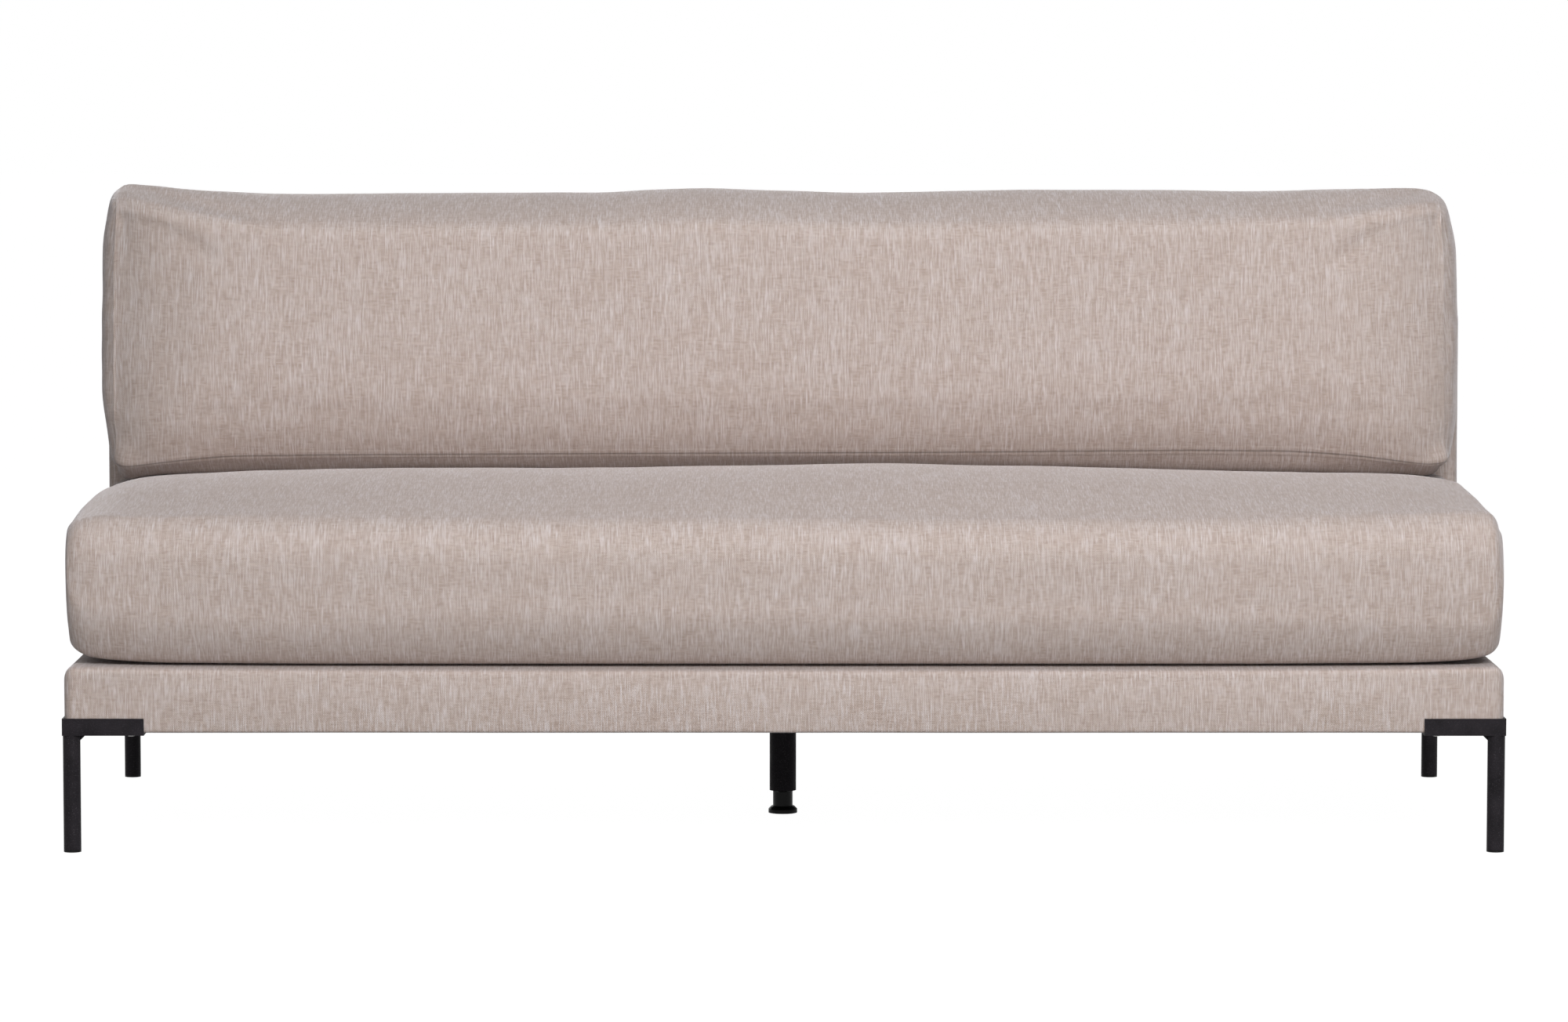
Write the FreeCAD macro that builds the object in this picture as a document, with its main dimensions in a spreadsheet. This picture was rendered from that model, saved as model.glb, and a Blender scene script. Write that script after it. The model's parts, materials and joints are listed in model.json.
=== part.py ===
"""Armless upholstered dining banquette: base on five legs, low back, loose seat and back cushions.

Millimetres, +Z up, the front faces -Y. The origin is on the floor under the middle of the base.
"""
import FreeCAD, Part
import math
import os
import re
import Sketcher
from FreeCAD import Placement, Rotation, Vector

doc = FreeCAD.newDocument("DiningBanquette")

# Driving dimensions, all in millimetres apart from the lean, in degrees.
SIZES = {
    # base box, fabric face to fabric face
    "base_width": 1814,
    "base_depth": 754,
    "base_height": 83,
    "ground_clearance": 152,
    "base_edge_radius": 12,
    "cover_thickness": 2,
    "hem_width": 60,
    # timber inside the base
    "base_padding": 6,
    "rail_thickness": 26,
    "centre_rail_width": 90,
    "cross_rail_drop": 22,
    "corner_block_side": 90,
    "corner_block_height": 55,
    # seat support
    "webbing_width": 60,
    "webbing_thickness": 2,
    "webbing_pitch": 190,
    "felt_thickness": 3,
    "dust_cover_inset": 18,
    "dust_cover_thickness": 1,
    "dust_cover_gap": 3,
    # corner legs
    "leg_diameter": 22,
    "leg_wall": 1.5,
    "bracket_length": 103,
    "bracket_inner_edge": 45,
    "bracket_drop": 3.5,
    "lip_height": 21.5,
    "lip_thickness": 3,
    "weld_size": 7,
    "glide_height": 3,
    "glide_plug": 14,
    "fit_clearance": 0.1,
    # wood screws
    "screw_shank": 4.6,
    "screw_length": 30,
    "screw_head": 9,
    "screw_head_height": 3,
    "screw_hole_clearance": 0.4,
    "screw_edge": 18,
    # centre leg
    "centre_leg_diameter": 35,
    "centre_leg_wall": 2,
    "centre_plate_side": 70,
    "centre_plate_thickness": 3,
    "centre_plate_corner": 8,
    "centre_screw_spread": 50,
    "tube_end_height": 30,
    "insert_depth": 32,
    "stud_diameter": 10,
    "stud_length": 30,
    "stud_clearance": 0.15,
    "foot_gap": 1.5,
    "neck_diameter": 26,
    "spigot_diameter": 12,
    "spigot_length": 5,
    "spigot_clearance": 0.3,
    "pad_diameter": 38,
    "pad_height": 9,
    "pad_round": 4,
    # upholstered back
    "back_overhang": 7,
    "back_depth": 158,
    "back_height": 425,
    "back_edge_radius": 12,
    "back_front_padding": 25,
    "back_hem": 40,
    "panel_thickness": 3,
    "back_rail_thickness": 26,
    "post_width": 26,
    "post_clearance": 1,
    "back_foot_height": 60,
    # seat cushion
    "cushion_gap": 0.4,
    "seat_end_inset": 1,
    "seat_setback": 3,
    "seat_rear_gap": 1,
    "seat_edge_height": 189,
    "seat_crown": 36,
    "seat_shelf_rise": 22,
    "seat_shelf_margin": 6,
    "crown_fall": 320,
    "seat_front_radius": 45,
    "seat_bottom_radius": 28,
    "seat_front_bulge": 5,
    "seat_end_draw": 14,
    "seat_end_round": 12,
    # back cushion
    "pillow_end_inset": 3,
    "pillow_height": 376,
    "pillow_thickness": 142,
    "pillow_lean": 6,
    "pillow_bulge": 26,
    "pillow_end_bulge": 6,
    "pillow_top_radius": 48,
    "pillow_bottom_radius": 22,
    "pillow_top_dip": 6,
    "pillow_end_round": 34,
    "pillow_end_draw": 60,
    "pillow_side_draw": 30,
    # closures
    "zip_end_margin": 156,
    "zip_width": 24,
}

sheet = doc.addObject("Spreadsheet::Sheet", "Sizes")
for row, (alias, number) in enumerate(SIZES.items(), start=1):
    sheet.set(f"A{row}", alias)
    sheet.set(f"B{row}", str(number))
    sheet.setAlias(f"B{row}", alias)
doc.recompute()


def sized(text):
    """The expression with each size name written as a reference to the sheet."""
    return re.sub(r"[a-z_]+", lambda m: f"Sizes.{m[0]}" if m[0] in SIZES else m[0], text)


def value(text):
    """The number that an expression in size names has now."""
    return float(sheet.evalExpression(sized(text)))


def bind(thing, **properties):
    for name, text in properties.items():
        thing.setExpression(name, sized(text))


def place(thing, x, y, z):
    for axis, text in zip("xyz", (x, y, z)):
        thing.setExpression(f"Placement.Base.{axis}", sized(text))


# Places worked out from the sizes.
BASE_TOP = "(ground_clearance + base_height)"
RAIL_BOTTOM = "(ground_clearance + cover_thickness)"
RAIL_HEIGHT = "(base_height - 2*cover_thickness - webbing_thickness - felt_thickness)"
RAIL_TOP = f"({RAIL_BOTTOM} + {RAIL_HEIGHT})"
RAIL_SETBACK = "(cover_thickness + base_padding)"
RAIL_X = f"(base_width/2 - {RAIL_SETBACK})"
RAIL_Y = f"(base_depth/2 - {RAIL_SETBACK})"
INNER_Y = f"({RAIL_Y} - rail_thickness)"
CORNER_X = "(base_width/2 + lip_thickness)"
CORNER_Y = "(base_depth/2 + lip_thickness)"
PLATE_BOTTOM = "(ground_clearance - bracket_drop)"
PLATE_THICKNESS = "(bracket_drop + cover_thickness)"
RAIL_MIDDLE = f"(lip_thickness + {RAIL_SETBACK} + rail_thickness/2)"
BLOCK_INSET = f"(lip_thickness + {RAIL_SETBACK} + rail_thickness)"
BACK_FRONT = "(base_depth/2 - back_depth)"
BACK_TOP = f"({BASE_TOP} + back_height)"
BACK_WIDTH = "(base_width + 2*back_overhang)"
BACK_X = f"({BACK_WIDTH}/2 - back_edge_radius)"
SEAT_WIDTH = "(base_width - 2*seat_end_inset)"
PILLOW_WIDTH = f"({BACK_WIDTH} - 2*pillow_end_inset)"
BACK_PANEL_Y = f"({BACK_FRONT} + cover_thickness + back_front_padding)"
BACK_TIMBER_Y = f"({BACK_PANEL_Y} + panel_thickness)"
BACK_REAR_PANEL_Y = "(base_depth/2 - cover_thickness - panel_thickness)"
BACK_FLOOR = f"({BASE_TOP} + cover_thickness)"
BACK_CEILING = f"({BACK_TOP} - back_edge_radius)"
POST_TOP = f"({BACK_CEILING} - back_rail_thickness)"
POST_DEPTH = f"({INNER_Y} - {BACK_TIMBER_Y})"
CENTRE_PLATE_BOTTOM = f"({RAIL_BOTTOM} - centre_plate_thickness)"

nodes = []


def node(thing, label):
    """Take the object as one finished piece of the bench."""
    thing.Label = label
    nodes.append(thing)
    return thing


def box(name, x, y, z, length, width, height):
    thing = doc.addObject("Part::Box", name)
    bind(thing, Length=length, Width=width, Height=height)
    place(thing, x, y, z)
    return thing


def cylinder(name, x, y, z, radius, height):
    thing = doc.addObject("Part::Cylinder", name)
    bind(thing, Radius=radius, Height=height)
    place(thing, x, y, z)
    return thing


def group(name, things):
    thing = doc.addObject("Part::Compound", name)
    thing.Links = things
    return thing


def cut(name, base, *tools):
    for number, tool in enumerate(tools):
        thing = doc.addObject("Part::Cut", f"{name}_{number}")
        thing.Base = base
        thing.Tool = tool
        base = thing
    return base


def upper_edges(base, size):
    """Every edge of a box but the four round its underside, each with the same size."""
    doc.recompute()
    floor = base.Shape.BoundBox.ZMin + 0.01
    return [
        (number, value(size), value(size))
        for number, edge in enumerate(base.Shape.Edges, start=1)
        if edge.BoundBox.ZMax > floor
    ]


def rounded(name, base, radius):
    thing = doc.addObject("Part::Fillet", name)
    thing.Base = base
    thing.Edges = upper_edges(base, radius)
    return thing


def bevelled(name, base, size):
    thing = doc.addObject("Part::Chamfer", name)
    thing.Base = base
    thing.Edges = upper_edges(base, size)
    return thing


def plane(body, role):
    return next(feature for feature in body.Origin.OriginFeatures if feature.Role == role)


def outline(body, name, role, points, height="0"):
    """A closed sketch of straight lines whose corners are bound to the sizes."""
    sketch = body.newObject("Sketcher::SketchObject", name)
    sketch.AttachmentSupport = [(plane(body, role), "")]
    sketch.MapMode = "FlatFace"
    bind(sketch, **{"AttachmentOffset.Base.z": height})
    corners = [Vector(value(u), value(v), 0) for u, v in points]
    for start, end in zip(corners, corners[1:] + corners[:1]):
        sketch.addGeometry(Part.LineSegment(start, end), False)
    for side in range(len(corners)):
        follower = (side + 1) % len(corners)
        sketch.addConstraint(Sketcher.Constraint("Coincident", side, 2, follower, 1))
    for side, (u, v) in enumerate(points):
        for kind, axis, text in (("DistanceX", -2, u), ("DistanceY", -1, v)):
            if text == "0":
                sketch.addConstraint(Sketcher.Constraint("PointOnObject", side, 1, axis))
                continue
            number = sketch.addConstraint(Sketcher.Constraint(kind, -1, 1, side, 1, value(text)))
            sketch.setExpression(f"Constraints[{number}]", sized(text))
    return sketch


def ring(body, name, u, v, radii, height):
    """A sketch of circles about one centre."""
    sketch = body.newObject("Sketcher::SketchObject", name)
    sketch.AttachmentSupport = [(plane(body, "XY_Plane"), "")]
    sketch.MapMode = "FlatFace"
    bind(sketch, **{"AttachmentOffset.Base.z": height})
    centre = Vector(value(u), value(v), 0)
    for circle, radius in enumerate(radii):
        sketch.addGeometry(Part.Circle(centre, Vector(0, 0, 1), value(radius)), False)
        for kind, text in (("DistanceX", u), ("DistanceY", v)):
            number = sketch.addConstraint(Sketcher.Constraint(kind, -1, 1, circle, 3, value(text)))
            sketch.setExpression(f"Constraints[{number}]", sized(text))
        number = sketch.addConstraint(Sketcher.Constraint("Radius", circle, value(radius)))
        sketch.setExpression(f"Constraints[{number}]", sized(radius))
    return sketch


def pad(body, name, sketch, length):
    feature = body.newObject("PartDesign::Pad", name)
    feature.Profile = sketch
    bind(feature, Length=length)
    sketch.Visibility = False
    return feature


def turned(name, x, y, z, points):
    """A body of revolution about a vertical axis at x, y, with its profile above z."""
    body = doc.addObject("PartDesign::Body", name)
    sketch = outline(body, f"{name}_profile", "XZ_Plane", points)
    feature = body.newObject("PartDesign::Revolution", f"{name}_turn")
    feature.Profile = sketch
    feature.ReferenceAxis = (sketch, ["V_Axis"])
    feature.Angle = 360
    place(body, x, y, z)
    return body


def prism(name, sides, x, y, z, radius, height):
    thing = doc.addObject("Part::Prism", name)
    thing.Polygon = sides
    bind(thing, Circumradius=radius, Height=height)
    place(thing, x, y, z)
    return thing


def octagon(name, x, y, z, radius, height):
    return prism(name, 8, x, y, z, radius, height)


def wood_screw(name, x, y, z):
    """A hex-head screw pointing up, with the underside of its head at z. The thread stays plain."""
    thing = doc.addObject("Part::Fuse", name)
    thing.Base = prism(f"{name}_head", 6, x, y, f"{z} - screw_head_height", "screw_head/2",
                       "screw_head_height")
    thing.Tool = octagon(f"{name}_shank", x, y, z, "screw_shank/2", "screw_length")
    return thing


CORNERS = {
    "front_left": (-1, -1),
    "front_right": (1, -1),
    "rear_right": (1, 1),
    "rear_left": (-1, 1),
}


def corner_body(name, corner, z):
    """A body drawn inwards from a bracket's outer corner, turned to its place."""
    sx, sy = CORNERS[corner]
    turn = 90*list(CORNERS).index(corner)
    body = doc.addObject("PartDesign::Body", name)
    body.Placement = Placement(Vector(), Rotation(Vector(0, 0, 1), turn))
    place(body, f"{sx}*{CORNER_X}", f"{sy}*{CORNER_Y}", z)
    return body


def bracket_plan(long_side, short_side):
    """A square plate with its inner corner cut away."""
    return [("0", "0"), (long_side, "0"), (long_side, short_side), (short_side, long_side), ("0", long_side)]


def corner_prisms(name, long_side, short_side, height):
    """The plan of the four brackets, raised from the floor."""
    prisms = []
    for corner in CORNERS:
        body = corner_body(f"{name}_{corner}", corner, "0")
        plan = outline(body, f"{name}_{corner}_plan", "XY_Plane", bracket_plan(long_side, short_side))
        pad(body, f"{name}_{corner}_pad", plan, height)
        prisms.append(body)
    return group(f"{name}_group", prisms)


# Two screws under each corner bracket, one into each rail.
SCREWS = {
    "long_rail": ("(bracket_length - screw_edge)", RAIL_MIDDLE),
    "side_rail": (RAIL_MIDDLE, "(bracket_length - screw_edge)"),
}


def screw_spots(kind, corner):
    sx, sy = CORNERS[corner]
    inset_x, inset_y = SCREWS[kind]
    return f"{sx}*({CORNER_X} - {inset_x})", f"{sy}*({CORNER_Y} - {inset_y})"


def screw_holes(name, spots, shape, clearance, top):
    """Holes up from the floor that leave a clearance round each screw."""
    return group(name, [
        shape(f"{name}_{number}", x, y, "0", f"screw_shank/2 + {clearance}", top)
        for number, (x, y) in enumerate(spots)
    ])


# Webbing belts run front to rear on a steady pitch, as many as fit between the side rails.
belt_space = value(f"2*({RAIL_X} - rail_thickness) - webbing_width")
belt_count = int(belt_space // value("webbing_pitch")) + 1
BELTS = [f"({number - (belt_count - 1)/2}*webbing_pitch)" for number in range(belt_count)]

# The main posts of the back stand in the first and third gaps between the belts, from each end.
MAIN_POSTS = [f"({BELTS[gap]} + webbing_pitch/2)" for gap in sorted({0, 2, belt_count - 4, belt_count - 2})]


def post_blocks(name, clearance, floor, height):
    return [
        box(f"{name}_{number}", f"{x} - post_width/2 - {clearance}", f"{BACK_TIMBER_Y} - {clearance}", floor,
            f"post_width + 2*{clearance}", f"{POST_DEPTH} + 2*{clearance}", height)
        for number, x in enumerate(MAIN_POSTS)
    ]


post_passage = group("post_passage", post_blocks("post_passage", "post_clearance", RAIL_TOP, "base_height"))
leg_spots = [screw_spots(kind, corner) for corner in CORNERS for kind in SCREWS]
screw_passage = screw_holes("screw_passage", leg_spots, cylinder, "screw_hole_clearance", RAIL_TOP)
screw_pilots = screw_holes("screw_pilots", leg_spots, octagon, "fit_clearance",
                           f"{PLATE_BOTTOM} + screw_length + screw_shank")

# Base: timber rails, all as deep as the space between the cover and the webbing.
front_rail = box("front_rail", f"-{RAIL_X}", f"-{RAIL_Y}", RAIL_BOTTOM,
                 f"2*{RAIL_X}", "rail_thickness", RAIL_HEIGHT)
node(cut("base_front_rail", front_rail, screw_pilots), "base_front_rail")
rear_rail = box("rear_rail", f"-{RAIL_X}", INNER_Y, RAIL_BOTTOM,
                f"2*{RAIL_X}", "rail_thickness", RAIL_HEIGHT)
node(cut("base_rear_rail", rear_rail, screw_pilots), "base_rear_rail")
for side, x in (("left", f"-{RAIL_X}"), ("right", f"{RAIL_X} - rail_thickness")):
    rail = box(f"{side}_rail", x, f"-{INNER_Y}", RAIL_BOTTOM,
               "rail_thickness", f"2*{INNER_Y}", RAIL_HEIGHT)
    node(cut(f"base_{side}_rail", rail, screw_pilots), f"base_{side}_rail")

# The wide middle rail carries the centre leg, and a narrow one stands on each side of it.
CROSS_HEIGHT = f"{RAIL_HEIGHT} - cross_rail_drop"
centre_spots = [
    (f"{sx}*centre_screw_spread/2", f"{sy}*centre_screw_spread/2")
    for sx, sy in ((-1, -1), (1, 1))
]
centre_pilots = screw_holes("centre_pilots", centre_spots, octagon, "fit_clearance",
                            f"{CENTRE_PLATE_BOTTOM} + screw_length + screw_shank")
centre_passage = screw_holes("centre_passage", centre_spots, cylinder, "screw_hole_clearance", RAIL_TOP)
centre_rail = box("centre_rail", "-centre_rail_width/2", f"-{INNER_Y}", RAIL_BOTTOM,
                  "centre_rail_width", f"2*{INNER_Y}", CROSS_HEIGHT)
node(cut("base_centre_rail", centre_rail, centre_pilots), "base_centre_rail")
cross_rails = [
    box(f"cross_rail_{side}", f"{side}*base_width/4 - rail_thickness/2", f"-{INNER_Y}",
        RAIL_BOTTOM, "rail_thickness", f"2*{INNER_Y}", CROSS_HEIGHT)
    for side in (-1, 1)
]
node(group("cross_rails", cross_rails), "base_cross_rails")

# Triangular glue blocks stand in the four inner corners of the rails.
blocks = []
for corner in CORNERS:
    block = corner_body(f"block_{corner}", corner, RAIL_BOTTOM)
    far = f"({BLOCK_INSET} + corner_block_side)"
    triangle = outline(block, f"block_{corner}_outline", "XY_Plane", [
        (BLOCK_INSET, BLOCK_INSET),
        (far, BLOCK_INSET),
        (BLOCK_INSET, far),
    ])
    pad(block, f"block_{corner}_pad", triangle, "corner_block_height")
    blocks.append(block)
node(group("corner_blocks", blocks), "base_corner_blocks")

# Seat support: belts on the rails, a felt deck on the belts.
belts = [
    box(f"belt_{number}", f"{x} - webbing_width/2", f"-{RAIL_Y}", RAIL_TOP,
        "webbing_width", f"2*{RAIL_Y}", "webbing_thickness")
    for number, x in enumerate(BELTS)
]
node(group("belts", belts), "seat_webbing")
felt = box("felt", "base_edge_radius - base_width/2", "base_edge_radius - base_depth/2",
           f"{RAIL_TOP} + webbing_thickness", "base_width - 2*base_edge_radius",
           "base_depth - 2*base_edge_radius", "felt_thickness")
node(cut("deck_felt", felt, post_passage), "deck_felt")

# The inner faces of a cover are bevelled by this share of the radius, which keeps them inside its rounding.
BEVEL = 0.75

# Cover and edge padding of the base: a stretched skin over rounded corners, turned in underneath.
skin = rounded("base_skin", box("base_block", "-base_width/2", "-base_depth/2", "ground_clearance",
                                "base_width", "base_depth", "base_height"), "base_edge_radius")
hollow_box = box("base_hollow_box", "cover_thickness - base_width/2", "cover_thickness - base_depth/2",
                 RAIL_BOTTOM, "base_width - 2*cover_thickness", "base_depth - 2*cover_thickness",
                 "base_height - 2*cover_thickness")
hollow = bevelled("base_hollow", hollow_box, f"{BEVEL}*(base_edge_radius - cover_thickness)")
mouth = box("base_mouth", "hem_width - base_width/2", "hem_width - base_depth/2", "0",
            "base_width - 2*hem_width", "base_depth - 2*hem_width", f"{RAIL_BOTTOM} + cover_thickness")
trims = corner_prisms("trim", "bracket_length", "bracket_inner_edge", RAIL_BOTTOM)
node(cut("base_cover", skin, hollow, mouth, trims, post_passage), "base_cover")
timber_space = box("timber_space", f"-{RAIL_X}", f"-{RAIL_Y}", "0", f"2*{RAIL_X}", f"2*{RAIL_Y}",
                   f"2*{BASE_TOP}")
node(cut("base_padding", hollow, timber_space), "base_padding")

# Dust cover under the base, notched round the leg brackets and the centre plate.
sheet_box = box("dust_sheet", "dust_cover_inset - base_width/2", "dust_cover_inset - base_depth/2",
                "ground_clearance - dust_cover_thickness", "base_width - 2*dust_cover_inset",
                "base_depth - 2*dust_cover_inset", "dust_cover_thickness")
notches = corner_prisms("notch", "(bracket_length + dust_cover_gap)", "(bracket_inner_edge + dust_cover_gap)",
                        BASE_TOP)
window = box("plate_window", "-centre_plate_side/2 - dust_cover_gap", "-centre_plate_side/2 - dust_cover_gap",
             "0", "centre_plate_side + 2*dust_cover_gap", "centre_plate_side + 2*dust_cover_gap", BASE_TOP)
node(cut("dust_cover", sheet_box, notches, window), "dust_cover")

# Corner legs: a folded bracket with two lips round the base's corner and a tube welded under it.
for corner in CORNERS:
    leg = corner_body(f"leg_{corner}", corner, "0")
    plate = outline(leg, f"plate_{corner}", "XY_Plane", bracket_plan("bracket_length", "bracket_inner_edge"),
                    PLATE_BOTTOM)
    pad(leg, f"plate_pad_{corner}", plate, PLATE_THICKNESS)
    lips = outline(leg, f"lips_{corner}", "XY_Plane", [
        ("0", "0"),
        ("bracket_length", "0"),
        ("bracket_length", "lip_thickness"),
        ("lip_thickness", "lip_thickness"),
        ("lip_thickness", "bracket_length"),
        ("0", "bracket_length"),
    ], PLATE_BOTTOM)
    pad(leg, f"lips_pad_{corner}", lips, "lip_height")
    tube = ring(leg, f"tube_{corner}", "leg_diameter/2", "leg_diameter/2",
                ("leg_diameter/2", "leg_diameter/2 - leg_wall"), "glide_height")
    pad(leg, f"tube_pad_{corner}", tube, f"{PLATE_BOTTOM} - glide_height")
    # the weld fills the inner quarter between tube and plate
    weld = outline(leg, f"weld_{corner}", "XZ_Plane", [
        ("leg_diameter - leg_wall/2", f"{PLATE_BOTTOM} - weld_size"),
        ("leg_diameter", f"{PLATE_BOTTOM} - weld_size"),
        ("leg_diameter + weld_size", PLATE_BOTTOM),
        ("leg_diameter - leg_wall/2", PLATE_BOTTOM),
    ], "-leg_diameter/2")
    width = value("leg_diameter")
    axis = weld.addGeometry(Part.LineSegment(Vector(width/2, 0, 0), Vector(width/2, width, 0)), True)
    weld.addConstraint(Sketcher.Constraint("Vertical", axis))
    weld.addConstraint(Sketcher.Constraint("PointOnObject", axis, 1, -1))
    length = weld.addConstraint(Sketcher.Constraint("DistanceY", axis, 1, axis, 2, width))
    weld.setExpression(f"Constraints[{length}]", sized("leg_diameter"))
    reach = weld.addConstraint(Sketcher.Constraint("DistanceX", -1, 1, axis, 1, width/2))
    weld.setExpression(f"Constraints[{reach}]", sized("leg_diameter/2"))
    bead = leg.newObject("PartDesign::Revolution", f"weld_turn_{corner}")
    bead.Profile = weld
    bead.ReferenceAxis = (weld, ["Axis0"])
    bead.Angle = 90
    node(cut(f"drilled_leg_{corner}", leg, screw_passage), f"{corner}_leg")

# Plastic glides plug the four tubes and carry the bench on the floor.
GLIDE = "leg_diameter/2"
PLUG = "(leg_diameter/2 - leg_wall - fit_clearance)"
glides = [
    turned(f"glide_{corner}", f"{sx}*({CORNER_X} - {GLIDE})", f"{sy}*({CORNER_Y} - {GLIDE})", "0", [
        ("0", "0"),
        (GLIDE, "0"),
        (GLIDE, "glide_height"),
        (PLUG, "glide_height"),
        (PLUG, "glide_height + glide_plug"),
        ("0", "glide_height + glide_plug"),
    ])
    for corner, (sx, sy) in CORNERS.items()
]
node(group("glides", glides), "leg_glides")
screws = [wood_screw(f"screw_{number}", x, y, PLATE_BOTTOM) for number, (x, y) in enumerate(leg_spots)]
node(group("screws", screws), "leg_screws")

# Centre leg: screwed plate, tube, threaded insert, and a foot that screws in and out.
mount_plate = doc.addObject("PartDesign::Body", "mount_plate")
HALF = "centre_plate_side/2"
CLIP = "(centre_plate_side/2 - centre_plate_corner)"
plate_corners = []
for su, sv in ((1, 1), (-1, 1), (-1, -1), (1, -1)):
    wide = (f"{su}*{HALF}", f"{sv}*{CLIP}")
    tall = (f"{su}*{CLIP}", f"{sv}*{HALF}")
    plate_corners += [wide, tall] if su == sv else [tall, wide]
plate_outline = outline(mount_plate, "mount_plate_outline", "XY_Plane", plate_corners)
pad(mount_plate, "mount_plate_pad", plate_outline, "centre_plate_thickness")
place(mount_plate, "0", "0", CENTRE_PLATE_BOTTOM)
node(cut("centre_leg_plate", mount_plate, centre_passage), "centre_leg_plate")
centre_screws = [
    wood_screw(f"centre_screw_{number}", x, y, CENTRE_PLATE_BOTTOM)
    for number, (x, y) in enumerate(centre_spots)
]
node(group("centre_screws", centre_screws), "centre_leg_screws")

TUBE = "centre_leg_diameter/2"
BORE = "(centre_leg_diameter/2 - centre_leg_wall)"
TUBE_LENGTH = f"({CENTRE_PLATE_BOTTOM} - tube_end_height)"
node(turned("centre_tube", "0", "0", "tube_end_height", [
    (BORE, "0"),
    (TUBE, "0"),
    (TUBE, TUBE_LENGTH),
    (BORE, TUBE_LENGTH),
]), "centre_leg_tube")
THREAD = "(stud_diameter/2 + stud_clearance)"
node(turned("insert", "0", "0", "tube_end_height", [
    (THREAD, "0"),
    (f"{BORE} - fit_clearance", "0"),
    (f"{BORE} - fit_clearance", "insert_depth"),
    (THREAD, "insert_depth"),
]), "centre_leg_insert")
NECK_TOP = "(tube_end_height - foot_gap)"
NECK = "neck_diameter/2"
node(turned("adjuster", "0", "0", "0", [
    ("0", "pad_height - spigot_length + spigot_clearance"),
    ("spigot_diameter/2", "pad_height - spigot_length + spigot_clearance"),
    ("spigot_diameter/2", "pad_height + spigot_clearance"),
    (NECK, "pad_height + spigot_clearance"),
    (NECK, NECK_TOP),
    ("stud_diameter/2", NECK_TOP),
    ("stud_diameter/2", f"{NECK_TOP} + stud_length"),
    ("0", f"{NECK_TOP} + stud_length"),
]), "foot_adjuster")
SOCKET = "(spigot_diameter/2 + spigot_clearance)"
node(turned("pad", "0", "0", "0", [
    ("0", "0"),
    ("pad_diameter/2", "0"),
    ("pad_diameter/2", "pad_height - pad_round"),
    ("pad_diameter/2 - pad_round", "pad_height"),
    (SOCKET, "pad_height"),
    (SOCKET, "pad_height - spigot_length"),
    ("0", "pad_height - spigot_length"),
]), "foot_pad")

# Back: posts and rails with two panels, foam over the front, ends and top, and a fabric skin. The main
# posts run down through the deck and stand against the base's rear rail.
main_posts = post_blocks("main_post", "0", RAIL_BOTTOM, f"{POST_TOP} - {RAIL_BOTTOM}")
node(group("main_posts", main_posts), "back_main_posts")
for side, x in (("left", f"-{BACK_X}"), ("right", f"{BACK_X} - post_width")):
    node(box(f"{side}_post", x, BACK_TIMBER_Y, BACK_FLOOR, "post_width", POST_DEPTH,
             f"{POST_TOP} - {BACK_FLOOR}"), f"back_{side}_post")
node(box("lower_rail", f"-{BACK_X}", INNER_Y, BACK_FLOOR, f"2*{BACK_X}", f"{BACK_REAR_PANEL_Y} - {INNER_Y}",
         "back_foot_height"), "back_bottom_rail")
node(box("upper_rail", f"-{BACK_X}", BACK_TIMBER_Y, POST_TOP, f"2*{BACK_X}",
         f"{BACK_REAR_PANEL_Y} - {BACK_TIMBER_Y}", "back_rail_thickness"), "back_top_rail")
for side, y in (("front", BACK_PANEL_Y), ("rear", BACK_REAR_PANEL_Y)):
    node(box(f"{side}_panel", f"-{BACK_X}", y, BACK_FLOOR, f"2*{BACK_X}", "panel_thickness",
             f"{BACK_CEILING} - {BACK_FLOOR}"), f"back_{side}_panel")

back_skin = rounded("back_skin", box("back_block", f"-{BACK_WIDTH}/2", BACK_FRONT, BASE_TOP,
                                     BACK_WIDTH, "back_depth", "back_height"), "back_edge_radius")
back_hollow_box = box("back_hollow_box", f"cover_thickness - {BACK_WIDTH}/2",
                      f"{BACK_FRONT} + cover_thickness", BACK_FLOOR, f"{BACK_WIDTH} - 2*cover_thickness",
                      "back_depth - 2*cover_thickness", "back_height - 2*cover_thickness")
back_hollow = bevelled("back_hollow", back_hollow_box, f"{BEVEL}*(back_edge_radius - cover_thickness)")
back_mouth = box("back_mouth", f"back_hem - {BACK_WIDTH}/2", f"{BACK_TIMBER_Y} - post_clearance", "0",
                 f"{BACK_WIDTH} - 2*back_hem", f"{POST_DEPTH} + 2*post_clearance",
                 f"{BACK_FLOOR} + cover_thickness")
node(cut("back_cover", back_skin, back_hollow, back_mouth), "back_cover")
frame_space = box("frame_space", f"-{BACK_X}", BACK_PANEL_Y, "0", f"2*{BACK_X}", "base_depth", BACK_CEILING)
node(cut("back_padding", back_hollow, frame_space), "back_padding")

doc.recompute()


def arc(start, middle, end):
    return Part.Arc(start, middle, end).toShape()


def line(start, end):
    return Part.LineSegment(start, end).toShape()


def corner_arc(start, corner, end):
    """A quarter round that touches both sides of a square corner."""
    middle = (start + end)/2 + (corner - (start + end)/2)*(math.sqrt(2) - 1)
    return arc(start, middle, end)


def loft(sections):
    return Part.makeLoft(sections, True, True)


def stations(half, end_round, fall, turns, shares):
    """Places along half the cushion: by angle round the end, then by share of the crown's fall."""
    end = [(half - end_round*(1 - math.sin(math.radians(angle))), 1 - math.cos(math.radians(angle)))
           for angle in turns]
    return end + [(half - end_round - share*fall, 0) for share in shares]


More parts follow.
